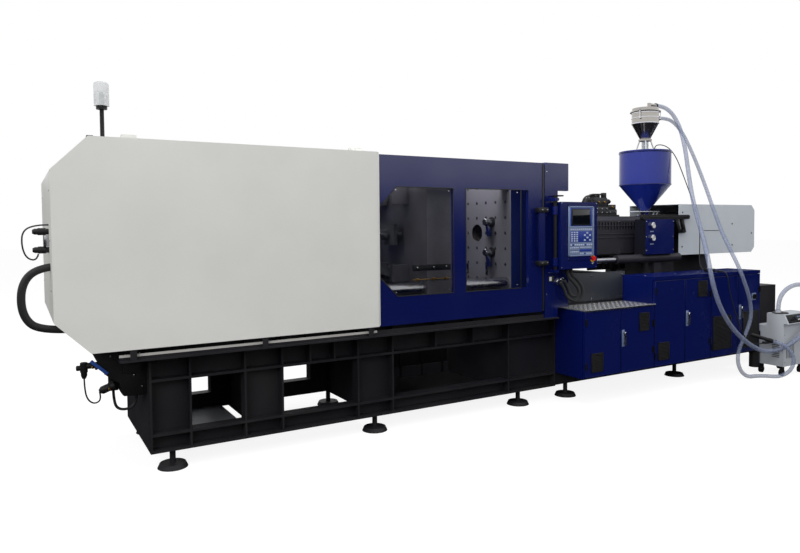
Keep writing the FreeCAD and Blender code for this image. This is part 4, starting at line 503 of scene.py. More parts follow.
class Form:
    """A piece's mesh in the making, in machine millimetres, from bmesh operators."""

    def __init__(self, *finishes: Finish) -> None:
        """Starts an empty mesh.

        Args:
            finishes: What its faces can take; the first one is in use.
        """
        self.mesh = bmesh.new()
        self.finishes = finishes
        self.index = 0
        self.shift = Vector((0, 0, 0))

    def use(self, finish: Finish) -> "Form":
        """What follows takes this finish."""
        self.index = self.finishes.index(finish)
        return self

    def _join(self, part: BMesh) -> None:
        """Adds a closed part to the piece.

        Args:
            part: The part, which is used up.
        """
        bmesh.ops.remove_doubles(part, verts=part.verts, dist=0.01)
        bmesh.ops.recalc_face_normals(part, faces=part.faces)
        bmesh.ops.translate(part, vec=self.shift, verts=part.verts)
        for face in part.faces:
            face.material_index = self.index
        _pour(part, self.mesh)

    @staticmethod
    def _round(part: BMesh, edge: float, segments: int, sharp: float = 0.5) -> None:
        """Bevels a part's edges.

        Args:
            part: The part.
            edge: How far the edges are rounded; at nought nothing is done.
            segments: How many faces round an edge.
            sharp: The angle in radians from which an edge counts.
        """
        if edge > 0:
            edges = [e for e in part.edges if len(e.link_faces) == 2 and e.calc_face_angle(0) > sharp]
            bmesh.ops.bevel(part, geom=edges, offset=edge, offset_type="OFFSET", segments=segments, profile=0.5,
                            affect="EDGES", material=-1, clamp_overlap=True)

    def _stand(self, part: BMesh, place: Point, turn: Matrix) -> "Form":
        """Turns a part about its own origin, moves it to its place and adds it.

        Args:
            part: The part, which is used up.
            place: Where its origin goes.
            turn: Its turn.

        Returns:
            The form itself, so that calls can follow one another.
        """
        bmesh.ops.transform(part, matrix=Matrix.Translation(place) @ turn, verts=part.verts)
        self._join(part)
        return self

    def box(self, x: Range, y: Range, z: Range, edge: float = 0.0, segments: int = 2,
            turn: Optional[Matrix] = None) -> "Form":
        """A block between two corners.

        Args:
            x: Its two ends along x.
            y: Its two ends along y.
            z: Its two ends along z.
            edge: How far its edges are rounded.
            segments: How many faces round an edge.
            turn: A turn about its own middle.

        Returns:
            The form itself.
        """
        part = bmesh.new()
        bmesh.ops.create_cube(part, size=1)
        bmesh.ops.scale(part, vec=[abs(high - low) for low, high in (x, y, z)], verts=part.verts)
        self._round(part, edge, segments)
        return self._stand(part, [sum(ends) / 2 for ends in (x, y, z)], turn or Matrix())

    def slats(self, count: int, step: float, x: Range, y: Range, z: Range, edge: float) -> "Form":
        """Level bars one above another.

        Args:
            count: How many.
            step: From one to the next.
            x: Their two ends along x.
            y: Their front and back.
            z: The lowest one's bottom and top.
            edge: How far their edges are rounded.

        Returns:
            The form itself.
        """
        for row in range(count):
            self.box(x, y, (z[0] + row * step, z[1] + row * step), edge)
        return self

    def bar(self, start: Point, end: Point, radius: float, tip: Optional[float] = None,
            sides: int = 24, edge: float = 0.0) -> "Form":
        """A round bar or cone between two points.

        Args:
            start: The middle of its first end.
            end: The middle of its other end.
            radius: Its radius.
            tip: Its radius at the other end, where that differs.
            sides: How many faces it has round it.
            edge: How far its ends are rounded.

        Returns:
            The form itself.
        """
        first, last = Vector(start), Vector(end)
        part = bmesh.new()
        bmesh.ops.create_cone(part, cap_ends=True, segments=sides, radius1=radius,
                              radius2=radius if tip is None else tip, depth=(last - first).length)
        self._round(part, edge, 2, 0.9)
        return self._stand(part, (first + last) / 2, _upright(last - first))

    def lathe(self, profile: Sequence[Range], centre: Point, axis: Point, steps: int = 40) -> "Form":
        """A turned shape.

        Args:
            profile: Radius and distance along the axis; one that starts off the axis is closed.
            centre: Where the distance is nought.
            axis: The way of the axis.
            steps: How many faces it has round it.

        Returns:
            The form itself.
        """
        part = bmesh.new()
        whole = [*profile, profile[0]] if profile[0][0] else profile
        points = [part.verts.new((radius, 0, along)) for radius, along in whole]
        edges = [part.edges.new(pair) for pair in zip(points, points[1:])]
        bmesh.ops.spin(part, geom=points + edges, cent=(0, 0, 0), axis=UP, angle=math.tau, steps=steps,
                       use_merge=True)
        return self._stand(part, centre, _upright(axis))

    def ring(self, radii: Range, along: Range, centre: Point, axis: Point, steps: int = 40) -> "Form":
        """A square-edged ring, or a disc where the inner radius is nought.

        Args:
            radii: Its inner and outer radius.
            along: Its two ends along the axis.
            centre: Where the distance along the axis is nought.
            axis: The way of the axis.
            steps: How many faces it has round it.

        Returns:
            The form itself.
        """
        (inner, outer), (low, high) = radii, along
        return self.lathe([(inner, low), (outer, low), (outer, high), (inner, high)], centre, axis, steps)

    def prism(self, outline: Sequence[Range], y: Range, edge: float) -> "Form":
        """An outline in x and z, pushed from one y to another.

        Args:
            outline: Its corners.
            y: Its front and back.
            edge: How far its edges are rounded.

        Returns:
            The form itself.
        """
        part = bmesh.new()
        face = part.faces.new([part.verts.new((across, y[0], up)) for across, up in outline])
        grown = bmesh.ops.extrude_face_region(part, geom=[face])["geom"]
        bmesh.ops.translate(part, vec=(0, y[1] - y[0], 0),
                            verts=[g for g in grown if isinstance(g, BMVert)])
        bmesh.ops.recalc_face_normals(part, faces=part.faces)
        self._round(part, edge, 2)
        self._join(part)
        return self

    def bolt(self, seat: Point, way: Point, radius: float = 8, sides: int = 6, height: float = 8) -> "Form":
        """A bolt head or cap nut on a surface.

        Args:
            seat: Where it stands.
            way: The way it points.
            radius: Its radius.
            sides: How many faces it has round it.
            height: How far it stands out.

        Returns:
            The form itself.
        """
        start, out = Vector(seat), Vector(way)
        return self.bar(start - out, start + out * height, radius, sides=sides, edge=radius * 0.12)

    def screws(self, seats: Iterable[Point], way: Point, radius: float, height: float) -> "Form":
        """Round screw heads on a surface.

        Args:
            seats: Where they stand.
            way: The way they point.
            radius: Their radius.
            height: How far they stand out.

        Returns:
            The form itself.
        """
        for seat in seats:
            self.bolt(seat, way, radius, SCREW_SIDES, height)
        return self

    def beam(self, start: Point, end: Point, wide: float, thick: float, edge: float = 0.0) -> "Form":
        """A flat bar between two points of a plane across y.

        Args:
            start: The middle of its first end.
            end: The middle of its other end.
            wide: Its width in that plane.
            thick: Its size along y.
            edge: How far its edges are rounded.

        Returns:
            The form itself.
        """
        first, last = Vector(start), Vector(end)
        part = bmesh.new()
        bmesh.ops.create_cube(part, size=1)
        bmesh.ops.scale(part, vec=(wide, thick, (last - first).length), verts=part.verts)
        self._round(part, edge, 2)
        turn = Matrix.Rotation(math.atan2(last.x - first.x, last.z - first.z), 4, "Y")
        return self._stand(part, (first + last) / 2, turn)

    def lozenge(self, place: Triple, half_long: float, half_short: float, height: float, degrees: float) -> "Form":
        """A low four-sided stud on a flat top.

        Args:
            place: The stud's middle.
            half_long: Half its length.
            half_short: Half its width.
            height: Its height.
            degrees: Its turn about z.

        Returns:
            The form itself.
        """
        part = bmesh.new()
        bmesh.ops.create_cone(part, cap_ends=True, segments=4, radius1=1.0, radius2=0.45, depth=height)
        turn = Matrix.Rotation(math.radians(degrees), 4, "Z") @ Matrix.Diagonal((half_long, half_short, 1, 1))
        return self._stand(part, place, turn)

    def tube(self, line: Sequence[Vector], radii: Iterable[float], sides: int = 16) -> "Form":
        """A tube whose rings follow a line, made a short stretch at a time.

        Args:
            line: The middles of its rings.
            radii: Their radii.
            sides: How many faces it has round it.

        Returns:
            The form itself.
        """
        rings = [frame @ Matrix.Scale(size, 4) for frame, size in zip(_frames(line), radii)]
        whole = bmesh.new()
        for start in range(0, len(rings) - 1, STRETCH):
            part = bmesh.new()
            span = rings[start:start + STRETCH + 1]
            ring = bmesh.ops.create_circle(part, cap_ends=start == 0, segments=sides, radius=1.0)["verts"]
            bmesh.ops.transform(part, matrix=span[0], verts=ring)
            edges = list(part.edges)
            for before, after in zip(span, span[1:]):
                grown = bmesh.ops.extrude_edge_only(part, edges=edges)["geom"]
                bmesh.ops.transform(part, matrix=after @ before.inverted(),
                                    verts=[g for g in grown if isinstance(g, BMVert)])
                edges = [g for g in grown if isinstance(g, BMEdge)]
            if start + STRETCH >= len(rings) - 1:
                bmesh.ops.contextual_create(part, geom=edges)
            _pour(part, whole)
        self._join(whole)
        return self

    def piece(self, name: str, body: Optional[str], slot: str, *stands_for: str) -> bpy.types.Object:
        """Ends the form as an object of the scene.

        Args:
            name: The object's name.
            body: The CAD body that it rides on, or None where it runs between two.
            slot: The record's material slot.
            stands_for: The CAD nodes that it replaces.

        Returns:
            The object, at the origin.
        """
        bmesh.ops.translate(self.mesh, vec=-ORIGIN, verts=self.mesh.verts)
        bmesh.ops.scale(self.mesh, vec=(MM, MM, MM), verts=self.mesh.verts)
        data = bpy.data.meshes.new(name)
        for face in self.mesh.faces:
            face.smooth = True
        self.mesh.to_mesh(data)
        self.mesh.free()
        data.set_sharp_from_angle(angle=CREASE)
        for finish in self.finishes:
            data.materials.append(finish.material())
        return settle(show(name, data), body, slot, *stands_for)


def show(name: str, data: Any) -> bpy.types.Object:
    """Makes an object of a mesh, curve, camera or light and links it to the scene.

    Args:
        name: The object's name.
        data: What it shows.

    Returns:
        The object, at the origin.
    """
    made = bpy.data.objects.new(name, data)
    bpy.context.scene.collection.objects.link(made)
    return made


def settle(made: bpy.types.Object, body: Optional[str], slot: str, *stands_for: str) -> bpy.types.Object:
    """Hangs a piece on its body and hides what it stands for.

    Args:
        made: The piece.
        body: The CAD body that it rides on, if any.
        slot: The record's material slot; not used.
        stands_for: The CAD nodes that it replaces.

    Returns:
        The piece.
    """
    if body:
        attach(made, body)
    if stands_for:
        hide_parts(*stands_for)
    LOG.info("%s rides on %s", made.name, body)
    return made


def _upright(way: Point) -> Matrix:
    """The turn that stands an upright part along a way."""
    return Vector(way).to_track_quat("Z", "Y").to_matrix().to_4x4()


def _out(angle: float) -> Vector:
    """The level unit vector at an angle from x, in radians."""
    return Vector((math.cos(angle), math.sin(angle), 0))


def _behind(face: float, side: int, depth: float) -> Range:
    """The two ends along y of a slab that lies behind a face on the front (-1) or the back (1)."""
    return min(face, face - side * depth), max(face, face - side * depth)


def _pour(part: BMesh, whole: BMesh) -> None:
    """Moves a finished part into a larger mesh.

    Args:
        part: The part, which is used up.
        whole: The mesh that takes it.
    """
    holder = bpy.data.meshes.new("part")
    part.to_mesh(holder)
    part.free()
    whole.from_mesh(holder)
    bpy.data.meshes.remove(holder)


def _frames(line: Sequence[Vector]) -> list[Matrix]:
    """The rings' places on a line, turned as little as possible from one to the next.

    Args:
        line: The rings' middles.

    Returns:
        A matrix for each ring.
    """
    frames = []
    turn = None
    for index, point in enumerate(line):
        ahead = line[min(index + 1, len(line) - 1)] - line[max(index - 1, 0)]
        ahead.normalize()
        if turn is None:
            turn = ahead.to_track_quat("Z", "Y")
        else:
            turn = (turn @ Vector(UP)).rotation_difference(ahead) @ turn
        frames.append(Matrix.Translation(point) @ turn.to_matrix().to_4x4())
    return frames


# ---------------------------------------------------------------- cords and hoses

class Skin(Enum):
    """What a hose's outside is like."""

    PLAIN = "plain"
    RIBBED = "ribbed"


@dataclass(frozen=True)
class Hose:
    """A free hose or cable: its route's control points in machine millimetres, and what it is."""

    name: str
    route: tuple[Triple, ...]
    radius: float
    length: float
    far_end: str = "object"
    finish: Finish = RUBBER
    slot: str = "hose_black"
    body: str = "frame"
    stiffness: str = "medium"
    skin: Skin = Skin.PLAIN
    pitch: float = 9.0
    depth: float = 1.8
    moves_with: Optional[str] = None
    bends: tuple[Triple, Triple] = ((0, 0, 0), (0, 0, 0))

    def line(self) -> list[Vector]:
        """The route's smooth curve.

        Returns:
            Its points, in machine millimetres.
        """
        curve = self._curve("line_of_" + self.name)
        mesh = bpy.data.meshes.new_from_object(curve)
        points = [v.co / MM + ORIGIN for v in mesh.vertices]
        bpy.data.meshes.remove(mesh)
        data = curve.data
        bpy.data.objects.remove(curve)
        bpy.data.curves.remove(data)
        return points

    def _curve(self, name: str) -> bpy.types.Object:
        """The route as a NURBS curve, in metres.

        Args:
            name: The object's name.

        Returns:
            The curve's object.
        """
        data = bpy.data.curves.new(name, "CURVE")
        data.dimensions = "3D"
        data.resolution_u = 14
        spline = data.splines.new("NURBS")
        spline.points.add(len(self.route) - 1)
        for point, place in zip(spline.points, self.route):
            point.co = (*metres(place), 1.0)
        spline.order_u = 3
        spline.use_endpoint_u = True
        return show(name, data)

    def build(self, *stands_for: str, with_pieces: Sequence[bpy.types.Object] = ()) -> bpy.types.Object:
        """Args:
            stands_for: The CAD nodes that it replaces.
            with_pieces: The pieces that go with it; not used.

        Returns:
            The hose.
        """
        if self.skin is Skin.PLAIN and not self.moves_with:
            made = self._curve(self.name)
            made.data.bevel_depth = self.radius * MM
            made.data.bevel_resolution = 5
            made.data.use_fill_caps = True
            made.data.materials.append(self.finish.material())
            settle(made, self.body, self.slot, *stands_for)
        else:
            ribs = self.depth if self.skin is Skin.RIBBED else 0.0
            line = evenly(self.line(), self.pitch / 4 if ribs else 2 * self.radius)
            sizes = [self.radius - ribs * (0, 0.35, 1, 0.35)[index % 4] for index in range(len(line))]
            form = Form(self.finish).tube(line, sizes, 14)
            made = form.piece(self.name, None if self.moves_with else self.body, self.slot, *stands_for)
        if self.moves_with:
            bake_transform(made)
        2 * self.radius * MM
        return made


def evenly(line: Sequence[Vector], step: float) -> list[Vector]:
    """Points a step apart on a line.

    Args:
        line: The line's own points.
        step: From one point to the next.

    Returns:
        The points, from the line's start on.
    """
    stations = [line[0].copy()]
    left = step
    for first, last in zip(line, line[1:]):
        reach = (last - first).length
        done = 0.0
        while reach - done >= left:
            done += left
            left = step
            stations.append(first.lerp(last, done / reach))
        left -= reach - done
    return stations


def from_end(points: Sequence[Triple]) -> tuple[Triple, ...]:
    """Points given from the hood's left end and the axis, as machine points."""
    return tuple(tuple(Vector(point) + CLAMP_END) for point in points)


VACUUM_ROUTE: tuple[Triple, ...] = (
    (2491, 0, 2950), (2610, -8, 2952), (2712, -38, 2898), (2762, -85, 2790), (2765, -145, 2650),
    (2712, -240, 2430), (2600, -365, 2140), (2500, -490, 1870), (2425, -610, 1650), (2303, -770, 1431),
    (2190, -905, 1220), (2181, -955, 1014), (2273, -968, 784), (2435, -990, 563), (2640, -1030, 390),
    (2850, -1065, 290), (3050, -1125, 292), (3250, -1190, 392), (3532, -1208, 555), (3590, -1230, 664),
    (3590, -1230, 790), (3532, -1204, 899), (3433, -1160, 962), (3317, -1109, 962), (3218, -1065, 899),
    (3160, -1040, 790), (3160, -1040, 661))
MATERIAL_ROUTE: tuple[Triple, ...] = (
    (2552, 0, 2812), (2660, -3, 2820), (2760, -22, 2796), (2832, -60, 2715), (2866, -120, 2600),
    (2878, -250, 2320), (2845, -400, 2020), (2800, -530, 1760), (2745, -670, 1510), (2662, -830, 1321),
    (2648, -932, 1153), (2728, -952, 973), (2820, -952, 783), (2831, -950, 603), (2661, -944, 352),
    (2610, -948, 264), (2610, -953, 162), (2661, -962, 74), (2749, -974, 22), (2870, -990, 22),
    (2954, -1052, 22), (3019, -1138, 22), (3069, -1206, 70), (3098, -1244, 154), (3098, -1244, 240),
    (3070, -1206, 322), (3030, -1154, 368), (2984, -1092, 389))
CABLE_ROUTE: tuple[Triple, ...] = (
    (2404, -70, 2426), (2404, -72, 2482), (2470, -80, 2504), (2560, -90, 2494), (2636, -106, 2452),
    (2682, -150, 2350), (2684, -215, 2200), (2668, -290, 2050), (2640, -360, 1930), (2610, -450, 1760),
    (2560, -530, 1600), (2500, -580, 1420), (2450, -610, 1260), (2425, -640, 1150), (2430, -720, 1121),
    (2436, -800, 1122), (2440, -862, 1126), (2446, -908, 1125), (2456, -932, 1080), (2476, -934, 960),
    (2526, -944, 790), (2590, -962, 610), (2660, -984, 450), (2760, -986, 376), (2900, -986, 350),
    (3125, -986, 350))
OUTER_CONDUIT: tuple[Triple, ...] = (
    (474, -742, 1225), (474, -742, 1172), (560, -748, 1120), (618, -754, 1040), (598, -756, 956),
    (512, -754, 930), (430, -746, 966), (408, -736, 1050), (378, -722, 1104))
INNER_CONDUIT: tuple[Triple, ...] = (
    (432, -742, 1225), (432, -742, 1160), (512, -748, 1098), (568, -752, 1036), (556, -754, 988),
    (510, -752, 972), (466, -744, 996), (450, -736, 1062), (424, -722, 1118))
END_LOOP = from_end(((80, -450, -160), (-62, -450, -160), (-162, -450, -260), (-162, -450, -460),
                     (-62, -450, -560), (160, -450, -560)))
PLUG_CABLE = from_end(((0, -360, 97), (-76, -360, 97), (-146, -360, 60), (-150, -360, -40), (-124, -360, -112),
                       (-70, -360, -126), (-60, -360, -84)))
VALVE_CABLE = from_end(((176, -392, -880), (176, -392, -950), (190, -392, -1030), (232, -392, -1066),
                        (276, -392, -1042), (264, -392, -988)))
VALVE_HOSE = from_end(((354, -330, -996), (354, -330, -1050), (370, -330, -1130), (440, -330, -1146),
                       (498, -330, -1110), (498, -330, -1046)))
STACK_OUTER: tuple[Triple, ...] = (
    (1596, -62, 1932), (1510, -62, 1932), (1410, -66, 1928), (1330, -74, 1848), (1318, -80, 1798),
    (1318, -80, 1718))
STACK_INNER: tuple[Triple, ...] = (
    (1480, -12, 1920), (1430, -12, 1920), (1380, -12, 1888), (1346, -12, 1818), (1342, -12, 1778),
    (1342, -12, 1718))


@dataclass(frozen=True)
class LoaderHoses:
    """The two clear hoses and the cable between the receiver and the loader unit."""

    bends: tuple[Triple, Triple] = ((2765, -145, 2650), (2500, -700, 1400))

    def build(self) -> None:
        """Makes the three; each runs between the receiver on the carriage and the cabinets."""
        rides = {"moves_with": "injection_carriage", "bends": self.bends}
        clear = {"finish": CLEAR_HOSE, "slot": "hose_clear", "skin": Skin.RIBBED, **rides}
        Hose("vacuum_hose_clear", VACUUM_ROUTE, 23, 5218, **clear).build("vacuum_hose")
        tool = Hose("material_hose_clear", MATERIAL_ROUTE, 20, 4279, "tool", **clear)
        tool.build("material_hose", with_pieces=[bpy.data.objects["suction_lance"]])
        Hose("loader_cable_black", CABLE_ROUTE, 5, 3217, stiffness="limp", **rides).build("loader_cable")


@dataclass(frozen=True)
class ClampEnd:
    """The hydraulics at the hood's left end: plugs, cables, the big hose loop and the valve under the hood."""

    plug_radius: float = 22
    plug_length: float = 92
    side: float = -360

    def build(self) -> None:
        """Makes the rigid pieces first, then the four free lines."""
        form = Form(OXIDE_BLACK, BRASS, BRIGHT_BLUE, BRIGHT_STEEL, BLACK_PLASTIC)
        form.shift = CLAMP_END
        self._plugs(form)
        self._valve(form)
        form.piece("clamp_valves", "frame", "dark_steel", "clamp_hydraulics")
        Hose("return_hose_loop", END_LOOP, 24, 820, stiffness="stiff").build()
        Hose("plug_cable", PLUG_CABLE, 5, 409, stiffness="limp").build()
        Hose("valve_cable", VALVE_CABLE, 5, 294, stiffness="limp").build()
        Hose("valve_hose", VALVE_HOSE, 9, 342, stiffness="stiff").build()

    def _plugs(self, form: Form) -> None:
        """Two round plugs and the socket block between them.

        Args:
            form: The piece that takes them.
        """
        for level in (55, -60):
            body = [(0, 0), (self.plug_radius - 4, 0), (self.plug_radius - 4, 14), (self.plug_radius, 18),
                    (self.plug_radius, 60), (self.plug_radius - 3, 64), (self.plug_radius - 3, 78),
                    (12, self.plug_length), (0, self.plug_length)]
            form.use(BLACK_PLASTIC).lathe(body, (0, self.side, level), LEFT, 32)
            for groove in range(5):
                form.ring((self.plug_radius - 2, self.plug_radius + 1.2), (0, 3),
                          (-(22 + 8 * groove), self.side, level), LEFT, 32)
        form.use(BRIGHT_STEEL).box((-30, 0), (self.side - 30, self.side + 30), (-38, 33), 3)
        for level in (-16, 14):
            form.use(BLACK_PLASTIC).ring((0, 9), (0, 3), (-28, self.side - 8, level), LEFT)

    def _valve(self, form: Form) -> None:
        """The sloping valve block under the hood, with its connectors, blue strip and fittings.

        Args:
            form: The piece that takes them.
        """
        outline = ((206, -691), (293, -875), (380, -945), (396, -1020), (410, -1035), (550, -1035), (550, -691))
        form.use(OXIDE_BLACK).prism(outline, (-420, -200), 6)
        form.use(BRIGHT_BLUE).beam((214, -424, -778), (312, -424, -872), 22, 12, 3)
        form.use(BLACK_PLASTIC).lathe([(0, 0), (20, 0), (23, 4), (23, 62), (19, 66), (19, 84), (11, 104), (0, 104)],
                                      (176, -392, -788), DOWN, 28)
        form.lathe([(0, 0), (17, 0), (17, 26), (12, 30), (0, 30)], (160, -392, -822), LEFT, 24)
        form.bar((176, -392, -812), (300, -392, -812), 20, edge=4)
        form.lathe([(0, 0), (12, 0), (24, 16), (26, 22), (26, 66), (30, 70), (30, 96), (0, 96)], (262, -392, -988),
                   (0.94, 0, 0.34), 28)
        for place in ((226, -414, -820), (246, -414, -830), (322, -418, -972)):
            form.use(BRASS).lathe([(0, 0), (10, 0), (10, 10), (7, 13), (0, 13)], place, FRONT, 6)
        form.use(OXIDE_BLACK).box((326, 382), (-365, -295), (-1000, -880), 4)
        form.box((470, 526), (-365, -295), (-1050, -1000), 4)
        for x, z in ((330, -760), (420, -760), (510, -760), (470, -900), (520, -980)):
            form.use(BRIGHT_STEEL).bolt((x, -420, z), FRONT, 8)
        form.use(BLACK_PLASTIC).box((400, 520), (-440, -418), (-880, -800), 5)


# ---------------------------------------------------------------- clamp unit

@dataclass(frozen=True)
class DoorTrim:
    """The sliding door's seal, handle brackets, pane gaskets and pane screws."""

    face: float = -680
    pane_face: float = -650
    bracket: float = -738
    chamfer: float = 165
    pane_a: tuple[float, float, float, float] = (-1430, -742, 1077, 1915)
    pane_b: tuple[float, float, float, float] = (-619, -43, 1077, 1915)

    def build(self) -> None:
        """Makes the trim as one piece on the door."""
        form = Form(RUBBER, BLACK_PLASTIC, CHROME)
        form.box((200, 217), (self.face - 7, self.face + 27), (860, 2152), 3)
        for low, high in ((1264, 1303), (1722, 1765)):
            form.use(BLACK_PLASTIC).box((116, 224), (self.bracket, self.face + 1), (low, high), 5)
            for x in (150, 206):
                form.use(CHROME).bolt((x, self.bracket, (low + high) / 2), FRONT, 6, 6, 4)
        left, right, low, high = self.pane_a
        cut = self.chamfer
        self._gasket(form, [(left + cut, low), (right, low), (right, high), (left + cut, high),
                            (left, high - cut), (left, low + cut)])
        left, right, low, high = self.pane_b
        self._gasket(form, [(left, low), (right, low), (right, high), (left, high)])
        form.piece("front_door_trim", "front_door", "screen_black")

    def _gasket(self, form: Form, outline: Sequence[Range]) -> None:
        """A rubber lip round one opening, and a screw in each corner of its pane.

        Args:
            form: The piece that takes them.
            outline: The opening's corners in x and z.
        """
        middle = Vector((sum(x for x, _ in outline), sum(z for _, z in outline))) / len(outline)
        for (x0, z0), (x1, z1) in zip(outline, (*outline[1:], outline[0])):
            form.use(RUBBER).beam((x0, self.face - 1, z0), (x1, self.face - 1, z1), 7, 5, 1.2)
            inner = Vector((x0, z0)).lerp(middle, 0.055)
            form.use(CHROME).bolt((inner.x, self.pane_face, inner.y), FRONT, 6.5, SCREW_SIDES, 3)


@dataclass(frozen=True)
class RearDoorTrim:
    """The rear door's seal and handle."""

    face: float = 680
    grip: float = 146
    levels: Range = (1290, 1735)

    def build(self) -> None:
        """Makes the trim as one piece on the rear door."""
        form = Form(RUBBER, BLACK_PLASTIC, CHROME)
        form.box((200, 217), (self.face - 27, self.face + 7), (860, 2152), 3)
        for z in self.levels:
            form.use(BLACK_PLASTIC).box((self.grip - 20, self.grip + 20), (self.face - 1, self.face + 44),
                                        (z - 18, z + 18), 4)
        foot, head = ((self.grip, self.face + 34, z) for z in self.levels)
        form.use(CHROME).bar(foot, head, 11, edge=2)
        form.piece("rear_door_trim", "rear_door", "screen_black")


@dataclass(frozen=True)
class PlatenFaces:
    """The tapped holes and fittings on the two mould faces, with painted shade in the holes and a painted shadow
    under each fixed-platen fitting.
    """

    pitch: float = 140
    hole: float = 11
    bore: float = 130
    tie: Range = (420, 445)
    tie_room: float = 95
    moving: float = -600

    def _holes(self, form: Form, face: float, way: int) -> None:
        """A grid of tapped holes, each a bright chamfer round a black disc, painted shade where the hole's depth
        would be.

        Args:
            form: The piece that takes them.
            face: The face's place along x.
            way: Which way the face looks along x.
        """
        for row in range(-3, 4):
            for column in range(-3, 4):
                y, z = column * self.pitch, row * self.pitch
                near_bore = math.hypot(y, z) < self.bore
                near_tie = abs(abs(y) - self.tie[0]) < self.tie_room and abs(abs(z) - self.tie[1]) < self.tie_room
                if near_bore or near_tie:
                    continue
                seat = (face, y, CLAMP_END.z + z)
                form.use(BRIGHT_STEEL).lathe([(self.hole, 0), (self.hole + 3, 0), (self.hole + 2.4, 1.2),
                                              (self.hole, 1.4)], seat, (way, 0, 0), 20)
                # Painted shade: a black disc stands for the dark inside of the hole.
                form.use(OXIDE_BLACK).ring((0, self.hole), (0, 0.5), seat, (way, 0, 0), 20)

    def build(self) -> None:
        """Makes one piece for each platen."""
        fixed = Form(BRIGHT_STEEL, OXIDE_BLACK, CHROME, DEEP_BLUE)
        self._holes(fixed, 0, -1)
        for level in (1647, 1371):
            seat = (0, -229, level)
            # A black disc under each fitting is a painted shadow round its foot.
            fixed.use(OXIDE_BLACK).lathe([(0, 0), (46, 0), (46, 10), (40, 16), (0, 16)], seat, LEFT, 36)
            fixed.use(CHROME).lathe([(0, 0), (28, 0), (28, 60), (33, 62), (33, 84), (26, 90), (0, 90)], seat,
                                    LEFT, 36)
            fixed.use(DEEP_BLUE).bar((-48, -229, level - 20), (-40, -240, level - 128), 25, 22, 28, 5)
            fixed.use(OXIDE_BLACK).box((-64, -30), (-300, -170), (level - 30, level - 14), 3)
        for y in (-150, 150):
            fixed.use(BRIGHT_STEEL).box((-4, 0.5), (y - 18, y + 18), (1160, 1250), 1)
        fixed.piece("fixed_platen_face", "frame", "casting_grey")
        moving = Form(BRIGHT_STEEL, OXIDE_BLACK)
        self._holes(moving, self.moving, 1)
        moving.piece("moving_platen_face", "moving_platen", "casting_grey")


@dataclass(frozen=True)
class ClampInside:
    """Lubrication lines and wear strips behind the left window, and the drip tray in the bed."""

    side: float = 500

    def build(self) -> None:
        """Makes what rides on the moving platen, then what stands on the frame."""
        form = Form(OXIDE_BLACK, BRIGHT_STEEL, BRASS)
        for way in (-1, 1):
            face = way * self.side
            form.use(OXIDE_BLACK).box((-1020, -650), (face - 5, face + 5), (1250, 1300), 3)
            form.use(BRASS).bar((-1020, face + way * 5, 1180), (-660, face + way * 5, 1180), 5, sides=12)
            for x in (-980, -820, -700):
                form.use(BRIGHT_STEEL).bolt((x, face + way * 5, 1275), (0, way, 0), 11)
                form.use(BRASS).box((x - 12, x + 12), _behind(face + way * 12, way, 16), (1168, 1192), 2)
        form.piece("moving_platen_lines", "moving_platen", "casting_grey")
        frame = Form(LOADER_GREY, BRIGHT_STEEL, OXIDE_BLACK)
        frame.box((-2790, -2345), (-440, 440), (139, 146), 2)
        for y in (-300, 0, 300):
            frame.use(OXIDE_BLACK).box((-2700, -2690), (y - 130, y + 130), (146, 149), 0)
        for x in (-2360, -1810):
            frame.use(BRIGHT_STEEL).bolt((x, -480, 1120), FRONT, 12)
        frame.piece("bed_drip_tray", "frame", "bed_black")


@dataclass(frozen=True)
class HoodTrim:
    """The hood's seams, edge flange, small fittings on top, and the louvred panels of its back."""

    right: float = -1434
    half: float = 700
    low: float = 868
    top: float = 2168
    beacon: Triple = (-3289, -450, 2394)

    def build(self) -> None:
        """Makes the trim and the beacon's lens."""
        form = Form(HOOD_GREY, OXIDE_BLACK, CHROME, BLACK_PLASTIC)
        half = self.half
        for side in (-1, 1):
            form.use(HOOD_GREY).box((self.right - 3, self.right + 9), _behind(side * half, side, 26),
                                    (self.low, self.top), 1.5)
        form.use(CHROME).screws(((x, half, 884) for x in range(-3300, -1500, 300)), BACK, 7, 2.5)
        form.use(BLACK_PLASTIC).box((-3392, -3352), (-560, -520), (self.top, self.top + 24), 4)
        for x in (-3000, -2500, -2000):
            form.use(BLACK_PLASTIC).box((x - 170, x + 170), (half, half + 4), (1190, 1430), 2)
            form.use(OXIDE_BLACK).slats(11, 20, (x - 158, x + 158), (half + 2, half + 10), (1202, 1212), 2)
            form.use(CHROME).screws(((x + dx, half + 4, 1196) for dx in (-160, 160)), BACK, 5, 2)
        for x in (-3050, -1750):
            form.use(OXIDE_BLACK).box((x - 3, x + 3), (half, half + 1.2), (self.low, 2160))
            for z in (1000, 1500, 2000):
                form.use(CHROME).lathe([(0, 0), (17, 0), (17, 4), (12, 7), (0, 7)], (x + 34, half, z), BACK, 24)
        form.use(CHROME).screws(((CLAMP_END.x, y, z) for z in (1240, 1545, 1850) for y in (520, -520)), LEFT, 7, 2.5)
        form.piece("hood_trim", "frame", "hood_grey")
        self._beacon()

    def _beacon(self) -> None:
        """The beacon's clear lens with its ribbed lower half, and the lamp inside it."""
        ribs = [(0, 0), (46, 0)]
        for index in range(11):
            ribs += [(46, 3 + index * 7), (43.6, 6 + index * 7)]
        ribs += [(46, 84), (46, 134), (42, 144), (30, 149.5), (0, 150)]
        Form(LENS).lathe(ribs, self.beacon, UP, 48).piece("beacon_lens_ribbed", "frame", "pane_clear", "beacon_lens")
        lamp = [(0, 2), (17, 2), (17, 20), (13, 30), (15, 60), (13, 86), (0, 92)]
        Form(PLAIN_WHITE).lathe(lamp, self.beacon, UP).piece("beacon_lamp", "frame", "pane_clear")


